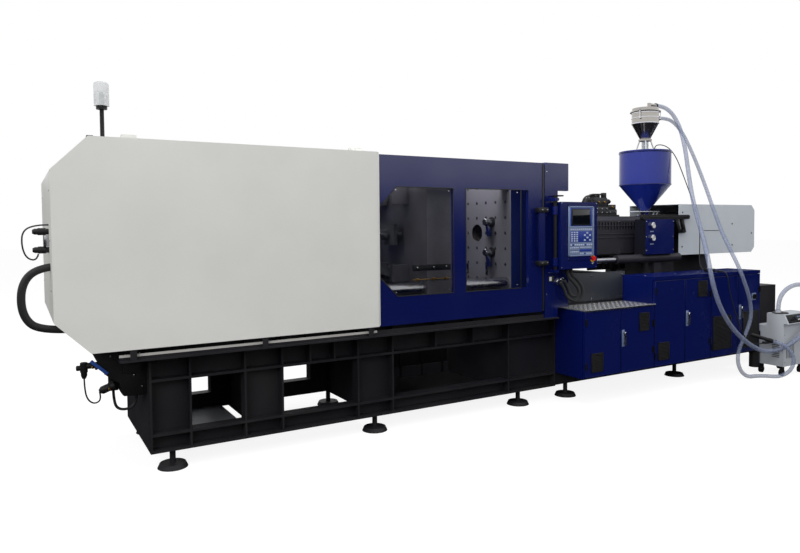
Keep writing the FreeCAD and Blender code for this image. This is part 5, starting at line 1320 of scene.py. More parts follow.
@dataclass(frozen=True)
class BedDetail:
    """Fittings on the two beds: a switch box, the third bay's tray and rear sheet, bolts and rear panels."""

    bay: Range = (-1240, -40)
    bay_top: float = 640
    clamp_half: float = 524
    back: float = 500

    def build(self) -> None:
        """Makes one piece on the frame."""
        form = Form(OXIDE_BLACK, BRIGHT_STEEL, BLACK_PLASTIC)
        form.use(BLACK_PLASTIC).box((-3010, -2880), (-560, -522), (740, 800), 5)
        form.box((-2990, -2900), (-566, -558), (752, 788), 2)
        form.use(OXIDE_BLACK).bar((-3006, -545, 770), (-3050, -545, 770), 11, sides=16, edge=2)
        form.box(self.bay, (-446, 446), (145, 151), 1)
        form.box(self.bay, (437, 443.9), (151, self.bay_top), 1)
        for x in range(-1080, -60, 240):
            form.box((x - 12, x + 12), (425, 437), (151, self.bay_top), 2)
        for x in (-2860, -2280, -1700, -1120, -540, 40):
            form.use(BRIGHT_STEEL).bolt((x, -self.clamp_half, 905), FRONT, 10)
            form.bolt((x, self.clamp_half, 905), BACK, 10)
        for x in range(700, 3900, 400):
            form.bolt((x, self.back, 895), BACK, 10)
        panel, louvre = (self.back - 1, self.back + 3), (self.back + 2, self.back + 8)
        for left in (640, 1460, 2280, 3100):
            form.use(BLACK_PLASTIC).box((left, left + 740), panel, (200, 850), 2)
            form.use(OXIDE_BLACK).slats(10, 22, (left + 60, left + 300), louvre, (300, 311), 2)
            seats = ((x, panel[1], z) for x in (left + 25, left + 715) for z in (225, 825))
            form.use(BRIGHT_STEEL).screws(seats, BACK, 7, 3)
        form.piece("bed_fittings", "frame", "bed_black")


# ---------------------------------------------------------------- operator side

@dataclass(frozen=True)
class ControlPanelFace:
    """The control panel's bezel, screen, keys, key switch and stop collar."""

    left: float = 392
    right: float = 701
    low: float = 1337
    high: float = 1777
    skin: float = -795
    front: float = -790
    pitch: float = 24.6

    def _key(self, form: Form, x: float, z: float, wide: float, tall: float, finish: Finish) -> None:
        """One key cap.

        Args:
            form: The piece that takes it.
            x: Its middle along x.
            z: Its middle along z.
            wide: Its width.
            tall: Its height.
            finish: What it is made of.
        """
        form.use(finish).box((x - wide / 2, x + wide / 2), (self.skin - 8, self.skin - 4),
                             (z - tall / 2, z + tall / 2), 1.6)

    def build(self) -> None:
        """Makes the face and the screen on the panel's body, and the lines down to the fixed panel."""
        form = Form(KEY_GREY, FIELD_BLUE, KEY_WHITE, BLACK_PLASTIC, SIGNAL_YELLOW, CHROME)
        skin = self.skin
        form.box((self.left, self.right), (skin - 4, skin), (self.low, self.high), 3)
        for x in (self.left + 7, self.right - 7):
            form.box((x - 7, x + 7), (skin - 9, skin - 3), (self.low, self.high), 2.5)
        for z in (self.low + 6, 1592, self.high - 6):
            form.box((self.left, self.right), (skin - 9, skin - 3), (z - 6, z + 6), 2.5)
        form.use(FIELD_BLUE).box((416, 677), (skin - 5, skin - 3), (1602, 1764), 0.8)
        form.box((416, 677), (skin - 5, skin - 3), (1460, 1558), 0.8)
        form.box((528, 674), (skin - 5.5, skin - 3), (1376, 1398), 0.8)
        for column in range(11):
            self._key(form, 424 + column * self.pitch, 1573, 17, 12, KEY_WHITE)
        for column in range(3):
            for row in range(5):
                self._key(form, 433 + column * 31, 1546 - row * 18.6, 20, 12, KEY_WHITE)
        for x, z in ((620, 1542), (588, 1521), (652, 1521), (620, 1499), (588, 1477), (652, 1477)):
            self._key(form, x, z, 21, 15, KEY_WHITE)
        for column in range(11):
            self._key(form, 424 + column * self.pitch, 1436, 18, 14, FIELD_BLUE if column in (1, 7) else KEY_WHITE)
        for column in range(5):
            for row in range(4):
                self._key(form, 419 + column * 21.5, 1411 - row * 18, 15, 11, KEY_GREY if row % 2 else KEY_WHITE)
        for column in range(6):
            self._key(form, 540 + column * self.pitch, 1413, 17, 10, KEY_WHITE)
            self._key(form, 540 + column * self.pitch, 1359, 17, 13, FIELD_BLUE if column == 2 else KEY_WHITE)
        form.use(SIGNAL_YELLOW).lathe([(22, 0), (32, 0), (32, 2.5), (29, 4), (22, 4)],
                                      (696, self.front + 1, 1312), FRONT)
        form.use(CHROME).lathe([(0, 0), (11, 0), (11, 8), (8, 10), (0, 10)], (694, self.front, 1262), FRONT, 28)
        form.use(BLACK_PLASTIC).box((692.5, 695.5), (skin - 6, skin - 4), (1256, 1268))
        form.use(CHROME).ring((0, 8), (0, 5), (408, self.front, 1312), FRONT, 24)
        form.screws(((x, self.front, z) for x in (324, 740) for z in (1237, 1803)), FRONT, 5, 2)
        form.piece("control_panel_keys", "control_panel", "keypad_grey")
        glass = Form(SCREEN, BLACK_PLASTIC)
        glass.use(BLACK_PLASTIC).box((430, 656), (skin - 9, skin - 4), (1608, 1756), 2.5)
        glass.use(SCREEN).box((441, 645), (skin - 10.5, skin - 8), (1619, 1745), 0.8)
        glass.piece("control_panel_screen", "control_panel", "screen_black", "panel_screen")
        self._lines()

    def _lines(self) -> None:
        """Two corrugated conduits from the panel's foot to the fixed panel, and their glands."""
        bends = ((474, -742, 1225), (400, -726, 1130))
        glands = Form(CHROME)
        for x, z in ((378, 1104), (424, 1118)):
            glands.lathe([(0, 0), (25, 0), (25, 12), (20, 14), (20, 30), (23, 31), (23, 43), (0, 43)],
                         (x, -680, z), FRONT, 24)
        glands.piece("conduit_glands", "frame", "hose_black", "panel_conduits")
        tops = Form(BLACK_PLASTIC)
        for x in (474, 432):
            tops.ring((0, 19), (0, 12), (x, -742, 1226), DOWN, 24)
        tops.piece("conduit_tops", "control_panel", "hose_black")
        for name, route, length in (("outer_conduit_black", OUTER_CONDUIT, 643),
                                    ("inner_conduit_black", INNER_CONDUIT, 514)):
            Hose(name, route, 14, length, skin=Skin.RIBBED, pitch=6, depth=1.6,
                 moves_with="control_panel", bends=bends).build()


@dataclass(frozen=True)
class FixedPanelTrim:
    """The rocker switch and plain plate on the fixed panel beside the control panel, and its screws."""

    face: float = -680

    def build(self) -> None:
        """Makes one piece on the frame."""
        form = Form(BLACK_PLASTIC, PLAIN_WHITE, KEY_GREY, CHROME)
        face = self.face
        form.box((270, 338), (face - 4, face + 1), (1112, 1164), 2)
        form.use(PLAIN_WHITE).box((277, 303), (face - 9, face - 3), (1120, 1156), 2)
        form.use(BLACK_PLASTIC).box((305, 331), (face - 8, face - 3), (1120, 1156), 2)
        form.use(KEY_GREY).box((266, 336), (face - 2, face + 1), (1192, 1208), 1)
        form.use(CHROME).screws(((250, face, z) for z in (1000, 1700, 2080)), FRONT, 6, 2.5)
        form.use(BLACK_PLASTIC).box((300, 360), (-776, -700), (1862, 1874), 3)
        form.piece("fixed_panel_trim", "frame", "panel_blue")


@dataclass(frozen=True)
class Vent:
    """A framed filter grille on a cabinet leaf: its place on the leaf's face."""

    left: float
    right: float
    low: float
    high: float
    face: float = LEAF_FACE
    pitch: float = 13

    def add_to(self, form: Form) -> None:
        """Adds the backing, the frame and the slats.

        Args:
            form: The piece that takes them.
        """
        face = self.face
        form.use(OXIDE_BLACK).box((self.left + 4, self.right - 4), (face - 2, face + 0.5),
                                  (self.low + 4, self.high - 4))
        form.use(BLACK_PLASTIC)
        for x in (self.left + 6, self.right - 6):
            form.box((x - 6, x + 6), (face - 8, face), (self.low, self.high), 2)
        for z in (self.low + 6, self.high - 6):
            form.box((self.left, self.right), (face - 8, face), (z - 6, z + 6), 2)
        inside = self.high - self.low - 24
        count = int(inside // self.pitch)
        step = inside / count
        tilt = Matrix.Rotation(math.radians(38), 4, "X")
        for row in range(count):
            z = self.low + 12 + (row + 0.5) * step
            form.box((self.left + 10, self.right - 10), (face - 6.6, face - 1.4), (z - 4.4, z + 4.4), 0.8, 1, tilt)


@dataclass(frozen=True)
class Leaf:
    """What is fitted to one cabinet leaf: its handle, its grilles and its screws."""

    body: str
    span: tuple[float, float, float, float]
    handle: Optional[Range] = None
    vents: tuple[Vent, ...] = ()
    face: float = LEAF_FACE

    def build(self) -> None:
        """Makes one piece on the leaf."""
        form = Form(BLACK_PLASTIC, OXIDE_BLACK, CHROME, KEY_GREY, DEEP_BLUE)
        left, right, low, high = self.span
        lip = (self.face - 2, self.face + 1)
        for x in (left + 6, right - 6):
            form.use(DEEP_BLUE).box((x - 3, x + 3), lip, (low + 3, high - 3), 1.2)
        for z in (low + 6, high - 6):
            form.box((left + 3, right - 3), lip, (z - 3, z + 3), 1.2)
        if self.handle:
            self._handle(form)
        for vent in self.vents:
            vent.add_to(form)
        form.piece(self.body + "_fittings", self.body, "panel_blue")

    def _handle(self, form: Form) -> None:
        """The grip on its pale plate, with dark bands.

        Args:
            form: The piece that takes them.
        """
        (x, z), y = self.handle, self.face - 26
        form.use(KEY_GREY).box((x - 17, x + 17), (self.face - 4, self.face + 0.5), (z - 76, z + 76), 2)
        form.use(CHROME).bar((x, y, z - 61), (x, y, z + 61), 10.2, sides=28, edge=3)
        for level in (z - 48, z + 48):
            form.bar((x, y + 24, level), (x, y + 6, level), 8, sides=20)
        for level in (z - 30, z, z + 30):
            form.use(BLACK_PLASTIC).box((x - 10.6, x + 10.6), (y - 9, y + 9), (level - 4, level + 4), 2)


LEAVES = (
    Leaf("step_left_door", (511, 958, 262, 848), None, (Vent(585, 735, 303, 472),)),
    Leaf("step_right_door", (966, 1412, 262, 848), (992, 575), (Vent(1203, 1341, 620, 791),)),
    Leaf("cabinet_door_a", (1420, 1858, 262, 1077), None, (Vent(1469, 1629, 315, 486),)),
    Leaf("cabinet_door_b", (1866, 2262, 262, 1077), (1892, 689.5), (Vent(2055, 2199, 889, 1047),)),
    Leaf("cabinet_door_c", (2270, 2710, 262, 1077), None, (Vent(2296, 2596, 329, 672),)),
    Leaf("cabinet_door_d", (2718, 3092, 262, 1077), (2744, 689.5), (Vent(2794, 3070, 308, 690),)),
)


@dataclass(frozen=True)
class CabinetTops:
    """The slip-proof tread, the cable plug on the cabinet's top and the switch plate."""

    left: float = 507
    right: float = 1416
    front: float = -892
    back: float = -500
    top: float = 860
    pitch: float = 30
    roof: float = 1115
    switch: Range = (2984, 838)

    def build(self) -> None:
        """Makes the tread's pattern and front nosing, then the small fittings."""
        self._tread()
        form = Form(BLACK_PLASTIC, CHROME)
        roof = self.roof
        form.box((2398, 2462), (-790, -700), (roof, roof + 27), 5)
        form.box((2408, 2452), (-800, -694), (roof + 21, roof + 35), 4)
        form.box((2410, 2462), (-868, -846), (roof - 1, roof + 19), 3)
        form.use(CHROME).screws(((x, -700, roof) for x in (1500, 1940, 2300, 2900, 3060)), UP, 7, 3)
        form.piece("cabinet_top_fittings", "frame", "screen_black")
        x, z = self.switch
        plate = Form(KEY_GREY, CHROME)
        plate.box((x - 37, x + 37), (LEAF_FACE - 3, LEAF_FACE + 0.5), (z - 37, z + 37), 3)
        seats = ((x + dx, LEAF_FACE - 3, z + dz) for dx in (-30, 30) for dz in (-30, 30))
        plate.use(CHROME).screws(seats, FRONT, 3.4, 1.6)
        plate.piece("main_switch_plate", "cabinet_door_d", "keypad_grey")

    def _tread(self) -> None:
        """Raised lozenges that turn left and right by turns, and a bright serrated front edge."""
        tread = Form(TREAD, BRIGHT_ALONG)
        columns = int((self.right - self.left - 20) / self.pitch)
        rows = int((self.back - self.front - 20) / self.pitch)
        for column in range(columns):
            for row in range(rows):
                x = self.left + 16 + (column + 0.5) * self.pitch
                y = self.front + 14 + (row + 0.5) * self.pitch
                tread.use(BRIGHT_ALONG).lozenge((x, y, self.top), 13.5, 4.2, 2.4, 45 if (row + column) % 2 else -45)
        tread.use(BRIGHT_ALONG).box((self.left, self.right), (self.front - 3, self.front + 5),
                                    (self.top - 9, self.top + 2), 2.5)
        for index in range(60):
            x = self.left + 8 + index * 15.2
            tread.use(TREAD).box((x - 3.4, x + 3.4), (self.front - 5, self.front + 9), (self.top - 2, self.top + 4),
                                 1, 1)
        tread.piece("tread_pattern", "frame", "tread_aluminium")


# ---------------------------------------------------------------- injection unit

@dataclass(frozen=True)
class ValveStack:
    """The hydraulic valves on the carriage in front of the hopper: blocks, coils, plugs and two hoses."""

    plate: float = 1716
    hose_feet: tuple[Range, ...] = ((1318, -80), (1342, -12))

    def build(self) -> None:
        """Makes the rigid stack, then its hoses."""
        form = Form(OXIDE_BLACK, DARK_STEEL, BLACK_PLASTIC, BRIGHT_STEEL, BRASS)
        form.box((1290, 1790), (-125, 125), (1700, self.plate + 2), 3)
        form.use(DARK_STEEL).box((1440, 1640), (-110, 80), (self.plate, 1800), 5)
        form.box((1452, 1630), (-104, 74), (1804, 1898), 6)
        form.use(OXIDE_BLACK).box((1446, 1636), (-108, 78), (1798, 1806))
        form.use(DARK_STEEL).box((1644, 1780), (-100, 80), (self.plate, 1770), 4)
        form.box((1652, 1772), (-92, 72), (1774, 1826), 5)
        form.use(OXIDE_BLACK).box((1648, 1776), (-96, 76), (1768, 1776))
        form.box((1296, 1420), (-110, 100), (self.plate, 1752), 5)
        form.bar((1300, 60, 1768), (1430, 60, 1768), 20, edge=3)
        self._coil(form, (1454, -60, 1844), LEFT, 58, 34)
        self._coil(form, (1628, -60, 1844), RIGHT, 48, 30)
        self._coil(form, (1446, 30, 1799), LEFT, 54, 26)
        self._coil(form, (1650, -50, 1858), RIGHT, 78, 26)
        self._coil(form, (1700, 20, 1818), UP, 44, 24)
        for x, y, top in ((1618, -62, 1950), (1502, -12, 1938)):
            form.use(BLACK_PLASTIC).box((x - 22, x + 22), (y - 22, y + 22), (1894, top), 5)
            form.use(BRIGHT_STEEL).bolt((x, y, top), UP, 5, SCREW_SIDES, 2)
        form.use(BLACK_PLASTIC).box((1560, 1590), (-40, 20), (1896, 1926), 4)
        self._fittings(form)
        form.piece("valve_stack", "injection_carriage", "dark_steel", "valve_manifold")
        for name, route, length in (("stack_outer_hose", STACK_OUTER, 426), ("stack_inner_hose", STACK_INNER, 284)):
            Hose(name, route, 9, length, body="injection_carriage",
                 stiffness="stiff").build()

    def _fittings(self, form: Form) -> None:
        """Cap screws, plugs and the two hose seats.

        Args:
            form: The piece that takes them.
        """
        for z in (1740, 1778):
            for x in (1470, 1540, 1610):
                form.use(BRIGHT_STEEL).bolt((x, -110, z), FRONT, 8)
        for x in (1672, 1750):
            form.bolt((x, -100, 1744), FRONT, 7)
        for x, y, z in ((1500, -103, 1850), (1580, -103, 1850), (1712, -91, 1800)):
            form.use(BRASS).lathe([(0, 0), (13, 0), (13, 10), (8, 12), (8, 18), (0, 18)], (x, y, z), FRONT, 6)
        for x, y in self.hose_feet:
            form.use(BRIGHT_STEEL).lathe([(0, 0), (16, 0), (16, 12), (12, 14), (12, 26), (0, 26)],
                                         (x, y, self.plate), UP, 6)

    @staticmethod
    def _coil(form: Form, start: Triple, way: Triple, length: float, radius: float) -> None:
        """A solenoid: a ribbed coil and its end nut.

        Args:
            form: The piece that takes it.
            start: The middle of its seat.
            way: The way it points.
            length: Its length.
            radius: The coil's radius.
        """
        cap, nut = radius * 0.86, radius * 0.5
        profile = [(0, 0), (radius, 0), (radius, length * 0.7), (cap, length * 0.74), (cap, length * 0.8),
                   (nut, length * 0.82), (nut, length), (0, length)]
        form.use(OXIDE_BLACK).lathe(profile, start, way, 32)
        for share in (0.15, 0.35, 0.55):
            middle = Vector(start) + Vector(way) * (length * share)
            form.use(BLACK_PLASTIC).ring((radius - 1, radius + 1.6), (0, 3), middle, way, 32)


@dataclass(frozen=True)
class Gauge:
    """A pressure gauge on the gauge box: its place and radius."""

    x: float
    z: float
    radius: float = 28
    face: float = -400

    def add_to(self, form: Form) -> None:
        """Adds the case, dial, ticks and needle.

        Args:
            form: The piece that takes them.
        """
        r, y = self.radius, self.face
        form.use(CHROME).lathe([(0, 0), (r + 7, 0), (r + 7, 20), (r + 3, 24), (r - 1, 26), (r - 3, 23.4), (0, 23)],
                               (self.x, y, self.z), FRONT, 48)
        form.use(PLAIN_WHITE).ring((0, r - 3.5), (0, 1), (self.x, y - 23, self.z), FRONT)
        form.use(BLACK_PLASTIC)
        for step in range(11):
            angle = math.radians(-135 + 27 * step)
            out = Vector((math.sin(angle), 0, math.cos(angle)))
            middle = Vector((self.x, y - 24.2, self.z))
            form.beam(middle + out * (r * 0.62), middle + out * (r * 0.8), 1.6, 0.6)
        form.beam((self.x - 4, y - 24.6, self.z - 5), (self.x + 9, y - 24.6, self.z + 14), 2.0, 0.8)
        form.use(BRASS).ring((0, 3), (0, 2), (self.x, y - 24, self.z), FRONT, 16)


@dataclass(frozen=True)
class InjectionTrim:
    """Gauges, guard ribs, cover seams and screws, small fittings on the carriage and the cable arm."""

    gauges: tuple[Gauge, ...] = (Gauge(1966, 1600), Gauge(1966, 1470))
    box_face: float = -400
    guard: float = 200
    cover: float = 335
    slide: float = 380
    arm: float = -366

    def build(self) -> None:
        """Makes the cable arm, then the rest as one piece."""
        self._arm()
        form = Form(OXIDE_BLACK, CHROME, PLAIN_WHITE, BLACK_PLASTIC, KEY_GREY, BRIGHT_STEEL, BRASS, CHARCOAL,
                    LOADER_GREY)
        y = self.box_face
        for gauge in self.gauges:
            gauge.add_to(form)
            form.use(KEY_GREY).box((gauge.x - 26, gauge.x + 26), (y - 2, y + 1), (gauge.z - 69, gauge.z - 57), 1)
        form.use(CHROME).screws(((x, y, z) for x in (1880, 2302) for z in (1340, 1480, 1640)), FRONT, 6, 3)
        self._guard(form)
        self._cover(form)
        self._carriage(form)
        form.piece("injection_trim", "injection_carriage", "casting_dark")

    def _guard(self, form: Form) -> None:
        """Long raised ribs, seams and screws on both faces of the barrel guard.

        Args:
            form: The piece that takes them.
        """
        for side in (-1, 1):
            y = side * self.guard
            for z in (1478, 1516, 1600):
                form.use(CHARCOAL).box((1250, 2090), (y - 4, y + 4), (z - 5, z + 5), 2)
            for x in (900, 1230):
                form.use(OXIDE_BLACK).box((x - 2, x + 2), (y - 1, y + 1), (1320, 1650))
            seats = ((x, y, z) for x in (680, 860, 940, 1190, 1270, 1700, 2100) for z in (1335, 1640))
            form.use(CHROME).screws(seats, (0, side, 0), 6, 3)

    def _cover(self, form: Form) -> None:
        """The cover's short seam, its screws, end vents and the tray that runs to it.

        Args:
            form: The piece that takes them.
        """
        for side in (-1, 1):
            y = side * self.cover
            form.use(OXIDE_BLACK).box((2905, 3185), (y - 1.5, y + 1.5), (1534, 1540))
            for x, z in ((2536, 1364), (3425, 1612), (3429, 1367), (3800, 1500), (2540, 1740)):
                form.use(BLACK_PLASTIC).lathe([(0, 0), (9, 0), (9, 3), (5, 4.5), (0, 4.5)], (x, y, z),
                                              (0, side, 0), 20)
        form.use(BLACK_PLASTIC).slats(12, 22, (3858, 3864), (-210, 210), (1400, 1410), 2)
        form.use(LOADER_GREY).box((2150, 2500), (-70, 60), (1750, 1760), 3)
        for x in (2420, 2480):
            for y in (-60, 50):
                form.beam((x, y, 1752), (x - 34, y, 1700), 10, 8, 2)

    def _carriage(self, form: Form) -> None:
        """The spine plate under the traverse rods with its ribs, fixing bolts, and grease fittings at the throat.

        Args:
            form: The piece that takes them.
        """
        form.use(OXIDE_BLACK).box((1450, 2010), (-14, 14), (1131, 1228), 3)
        for x in (1530, 1650, 1770, 1890):
            form.use(CHARCOAL).box((x - 8, x + 8), (-40, 40), (1142, 1226), 3)
        form.use(BRIGHT_STEEL).box((1500, 1990), (-26, -14), (1196, 1206), 1.5)
        for x in (1560, 1640, 1720, 2900, 3100, 3300, 3500):
            form.use(BRIGHT_STEEL).bolt((x, -self.slide, 1010), FRONT, 9)
            form.bolt((x, self.slide, 1010), BACK, 9)
        form.use(BRASS)
        for x in (2200, 2440):
            form.lathe([(0, 0), (10, 0), (10, 12), (6, 16), (6, 30), (0, 30)], (x, -110, 1699), UP, 6)

    def _arm(self) -> None:
        """The cable arm that runs past the throat: a toothed channel with two slanted legs."""
        form = Form(OXIDE_BLACK, BLACK_PLASTIC)
        y = self.arm
        form.box((1840, 2590), (y - 22, y + 22), (1668, 1706), 5)
        for index in range(28):
            x = 1856 + index * 26
            form.use(BLACK_PLASTIC).box((x - 8, x + 8), (y - 26, y + 26), (1700, 1713), 3)
            form.box((x - 9, x + 9), (y - 25, y + 25), (1665, 1671), 2)
        form.use(OXIDE_BLACK).lathe([(0, 0), (24, 0), (24, 48), (20, 52), (0, 52)], (2572, -340, 1690), FRONT, 32)
        for top, foot in ((2380, 2450), (2480, 2530)):
            form.use(OXIDE_BLACK).beam((top, y, 1672), (foot, y, 1520), 40, 30, 6)
        form.ring((0, 22), (0, 40), (2500, -346, 1536), FRONT, 32)
        form.box((1866, 2316), (y - 22, y - 14), (1505, 1672), 3)
        form.piece("cable_arm", "injection_carriage", "screen_black", "cable_tray")


@dataclass(frozen=True)
class BedPlates:
    """What stands on the injection bed before the carriage: side plates, the rods' cross beam and a line chain."""

    left: float = 516
    right: float = 1446
    low: float = 868
    high: float = 1152
    half: float = 500
    deck: float = 930

    def build(self) -> None:
        """Makes one piece on the frame."""
        form = Form(SHIELD_GREY, OXIDE_BLACK, BRIGHT_STEEL, BLACK_PLASTIC, DARK_STEEL)
        for side in (-1, 1):
            face = side * self.half
            form.use(SHIELD_GREY).box((self.left, self.right), _behind(face, side, 8), (self.low, self.high), 2)
            form.box((self.left, self.right), _behind(face, side, 40), (self.high - 5, self.high), 2)
            for x in (560, 980, 1400):
                inner = face - side * 20
                form.use(OXIDE_BLACK).beam((x, inner, self.deck), (x, inner, self.high - 6), 10, 26, 2)
                form.use(BRIGHT_STEEL).bolt((x, face, self.high - 30), (0, side, 0), 7)
                form.bolt((x, face, 905), (0, side, 0), 7)
        form.use(OXIDE_BLACK).box((1330, 1440), (-330, 330), (self.deck - 1, 1128), 6)
        form.box((620, 900), (-190, 190), (self.deck - 1, 1120), 6)
        form.use(DARK_STEEL).box((660, 860), (-150, 150), (1116, 1190), 5)
        for x in (690, 760, 830):
            form.use(BRIGHT_STEEL).bolt((x, -150, 1150), FRONT, 9)
            form.bolt((x, 0, 1190), UP, 10)
        for y in (-110, -60, 110):
            form.use(BLACK_PLASTIC).bar((896, y, 1020), (1334, y, 1020), 14, sides=20)
        for index in range(24):
            x = 560 + index * 34
            form.use(BLACK_PLASTIC).box((x, x + 27), (300, 420), (self.deck, self.deck + 55), 4)
        form.piece("bed_plates", "frame", "bed_black")


@dataclass(frozen=True)
class HopperTrim:
    """The hopper's rim, seams and flanges, and the receiver's latches, bands, stays and glass flanges."""

    x: float = 2336

    def build(self) -> None:
        """Makes the trim on the carriage."""
        form = Form(CHROME, DEEP_BLUE, BLACK_PLASTIC, STAINLESS, PLAIN_WHITE)
        axis = (self.x, 0, 0)
        form.use(DEEP_BLUE).lathe([(274, 2399), (279, 2401), (280, 2411), (277, 2415), (272, 2413)], axis, UP, 96)
        form.lathe([(273, 2048), (277.5, 2050), (277.5, 2056), (273, 2058)], axis, UP, 96)
        form.use(BLACK_PLASTIC).lathe([(268, 2414), (276, 2414.5), (276, 2418), (268, 2419)], axis, UP, 96)
        form.use(DEEP_BLUE).lathe([(40, 1752), (50, 1753), (50, 1766), (40, 1768)], axis, UP, 64)
        for index in range(8):
            out = _out(math.tau * (index + 0.5) / 8)
            form.use(CHROME).bolt(self._point(2425) + out * 240, UP, 7)
            form.bolt(self._point(1712) + out * 78, UP, 8)
        form.use(PLAIN_WHITE).ring((37, 39), (0, 3), (self.x, 0, 2490), UP, 48)
        for z, radius in ((2437, 108), (2541, 70)):
            form.use(STAINLESS).lathe([(38, z), (radius, z), (radius, z + 7), (radius - 2, z + 9), (38, z + 9)],
                                      axis, UP, 64)
        for index in range(4):
            out = _out(math.tau * (index + 0.5) / 4)
            foot = self._point(2444) + out * 94
            form.use(CHROME).bar(foot, self._point(2546) + out * 60, 8, sides=20)
            form.bolt(foot, UP, 11)
        self._receiver(form, axis)
        form.piece("receiver_trim", "injection_carriage", "stainless")

    def _point(self, z: float) -> Vector:
        """A point on the hopper's axis."""
        return Vector((self.x, 0, z))

    def _receiver(self, form: Form, axis: Triple) -> None:
        """Body bands, the lid's rim, latches, hose bands and the cone's folds.

        Args:
            form: The piece that takes them.
            axis: The foot of the hopper's axis.
        """
        for z in (2735, 2796, 2850):
            form.use(CHROME).lathe([(143, z - 6), (147.5, z - 4), (147.5, z + 4), (143, z + 6)], axis, UP, 80)
        form.use(STAINLESS).lathe([(144, 2857), (162, 2859), (163, 2867), (157, 2873), (144, 2873)], axis, UP, 80)
        for angle in (200, 320, 80):
            out = _out(math.radians(angle))
            form.use(CHROME).bar(self._point(2784) + out * 142, self._point(2784) + out * 166, 10, sides=20, edge=2)
            form.bar(self._point(2786) + out * 158, self._point(2872) + out * 164, 5, sides=16)
            form.bar(self._point(2872) + out * 168, self._point(2878) + out * 150, 7, sides=16)
        for x, z, bore in ((2502, 2950, 22.5), (2516, 2950, 22.5), (2500, 2812, 19.5), (2566, 2812, 19.5)):
            form.use(BLACK_PLASTIC).ring((bore, bore + 4.5), (-5, 5), (x, 0, z), RIGHT)
        for index in range(12):
            out = _out(math.tau * index / 12)
            form.use(CHROME).bar(self._point(2562) + out * 52.5, self._point(2733) + out * 143.5, 1.8, sides=8)


@dataclass(frozen=True)
class LoaderTrim:
    """The loader unit's sloped control face, port ring, vents, front seam, castor hubs and pot ring."""

    left: float = 3126
    right: float = 3566
    front: float = -1120
    back: float = -810
    slope: float = -24.7
    port: Triple = (3200, -1040, 658)
    pot: Triple = (3080, -835, 222)

    def build(self) -> None:
        """Makes one piece on the frame."""
        form = Form(OXIDE_BLACK, BLACK_PLASTIC, CHROME, PLAIN_WHITE, KEY_GREY, SCREEN, STOP_RED)
        self._control(form)
        form.use(OXIDE_BLACK).lathe([(30, 0), (74, 0), (78, 3), (78, 9), (72, 13), (34, 15), (30, 15)],
                                    self.port, UP, 48)
        for column in range(6):
            x = self.left + 60 + column * 26
            form.use(OXIDE_BLACK).box((x - 5, x + 5), (self.front - 1, self.front + 2), (190, 330), 1.5)
        seats = ((x, self.front, z) for z in (150, 440, 530) for x in (self.right - 20, self.left + 20))
        form.use(CHROME).screws(seats, FRONT, 5, 2)
        form.use(OXIDE_BLACK).box((self.right - 170, self.right - 40), (self.front - 1.5, self.front + 1), (380, 386))
        form.slats(8, 18, (self.left - 2, self.left + 1), (-1080, -1000), (200, 208), 1)
        form.slats(10, 22, (self.left + 60, self.right - 60), (self.back - 2, self.back + 1.5), (180, 190), 1)
        for x in (self.left + 50, self.right - 50):
            for y, side in ((-1088, -1), (-1062, 1), (-868, -1), (-842, 1)):
                form.use(CHROME).lathe([(0, 0), (13, 0), (13, 3), (9, 5), (0, 5)], (x, y, 38), (0, side, 0), 20)
        form.use(BLACK_PLASTIC).lathe([(50, -8), (54, -7), (54, 7), (50, 8)], self.pot, UP, 48)
        form.piece("loader_trim", "frame", "loader_grey")

    def _control(self, form: Form) -> None:
        """The black face on the slope with a small display and keys.

        Args:
            form: The piece that takes them.
        """
        tilt = Matrix.Rotation(math.radians(self.slope), 4, "X")
        form.box((self.left + 24, self.right - 24), (-1147, -1142.5), (564, 655), 1.5, 2, tilt)
        form.use(SCREEN).box((self.left + 60, self.left + 170), (-1149, -1144), (590, 632), 1, 1, tilt)
        for column in range(6):
            for row in range(2):
                x, z = self.left + 215 + column * 28, 598 + row * 26
                y = -1148.5 + (z - 609.5) * 0.46
                form.use(KEY_GREY if row else PLAIN_WHITE).box((x - 9, x + 9), (y - 2, y + 2), (z - 7, z + 7), 1, 1,
                                                               tilt)
        form.use(STOP_RED).lathe([(0, 0), (9, 0), (9, 6), (6, 9), (0, 9)], (self.right - 46, -1146, 611),
                                 (0, -0.91, 0.42), 24)


def dress_nodes(nodes: dict[str, bpy.types.Object]) -> None:
    """Gives each CAD node that stays its finish.

    Args:
        nodes: The CAD nodes by name.
    """
    for finish, names in NODE_FINISHES.items():
        for name in names:
            slots = nodes[name].material_slots
            if not slots:
                nodes[name].data.materials.append(finish.material())
            for slot in slots:
                slot.material = finish.material()
        LOG.info("%s on %s", finish.name, ", ".join(names))


# ---------------------------------------------------------------- stage, light and camera

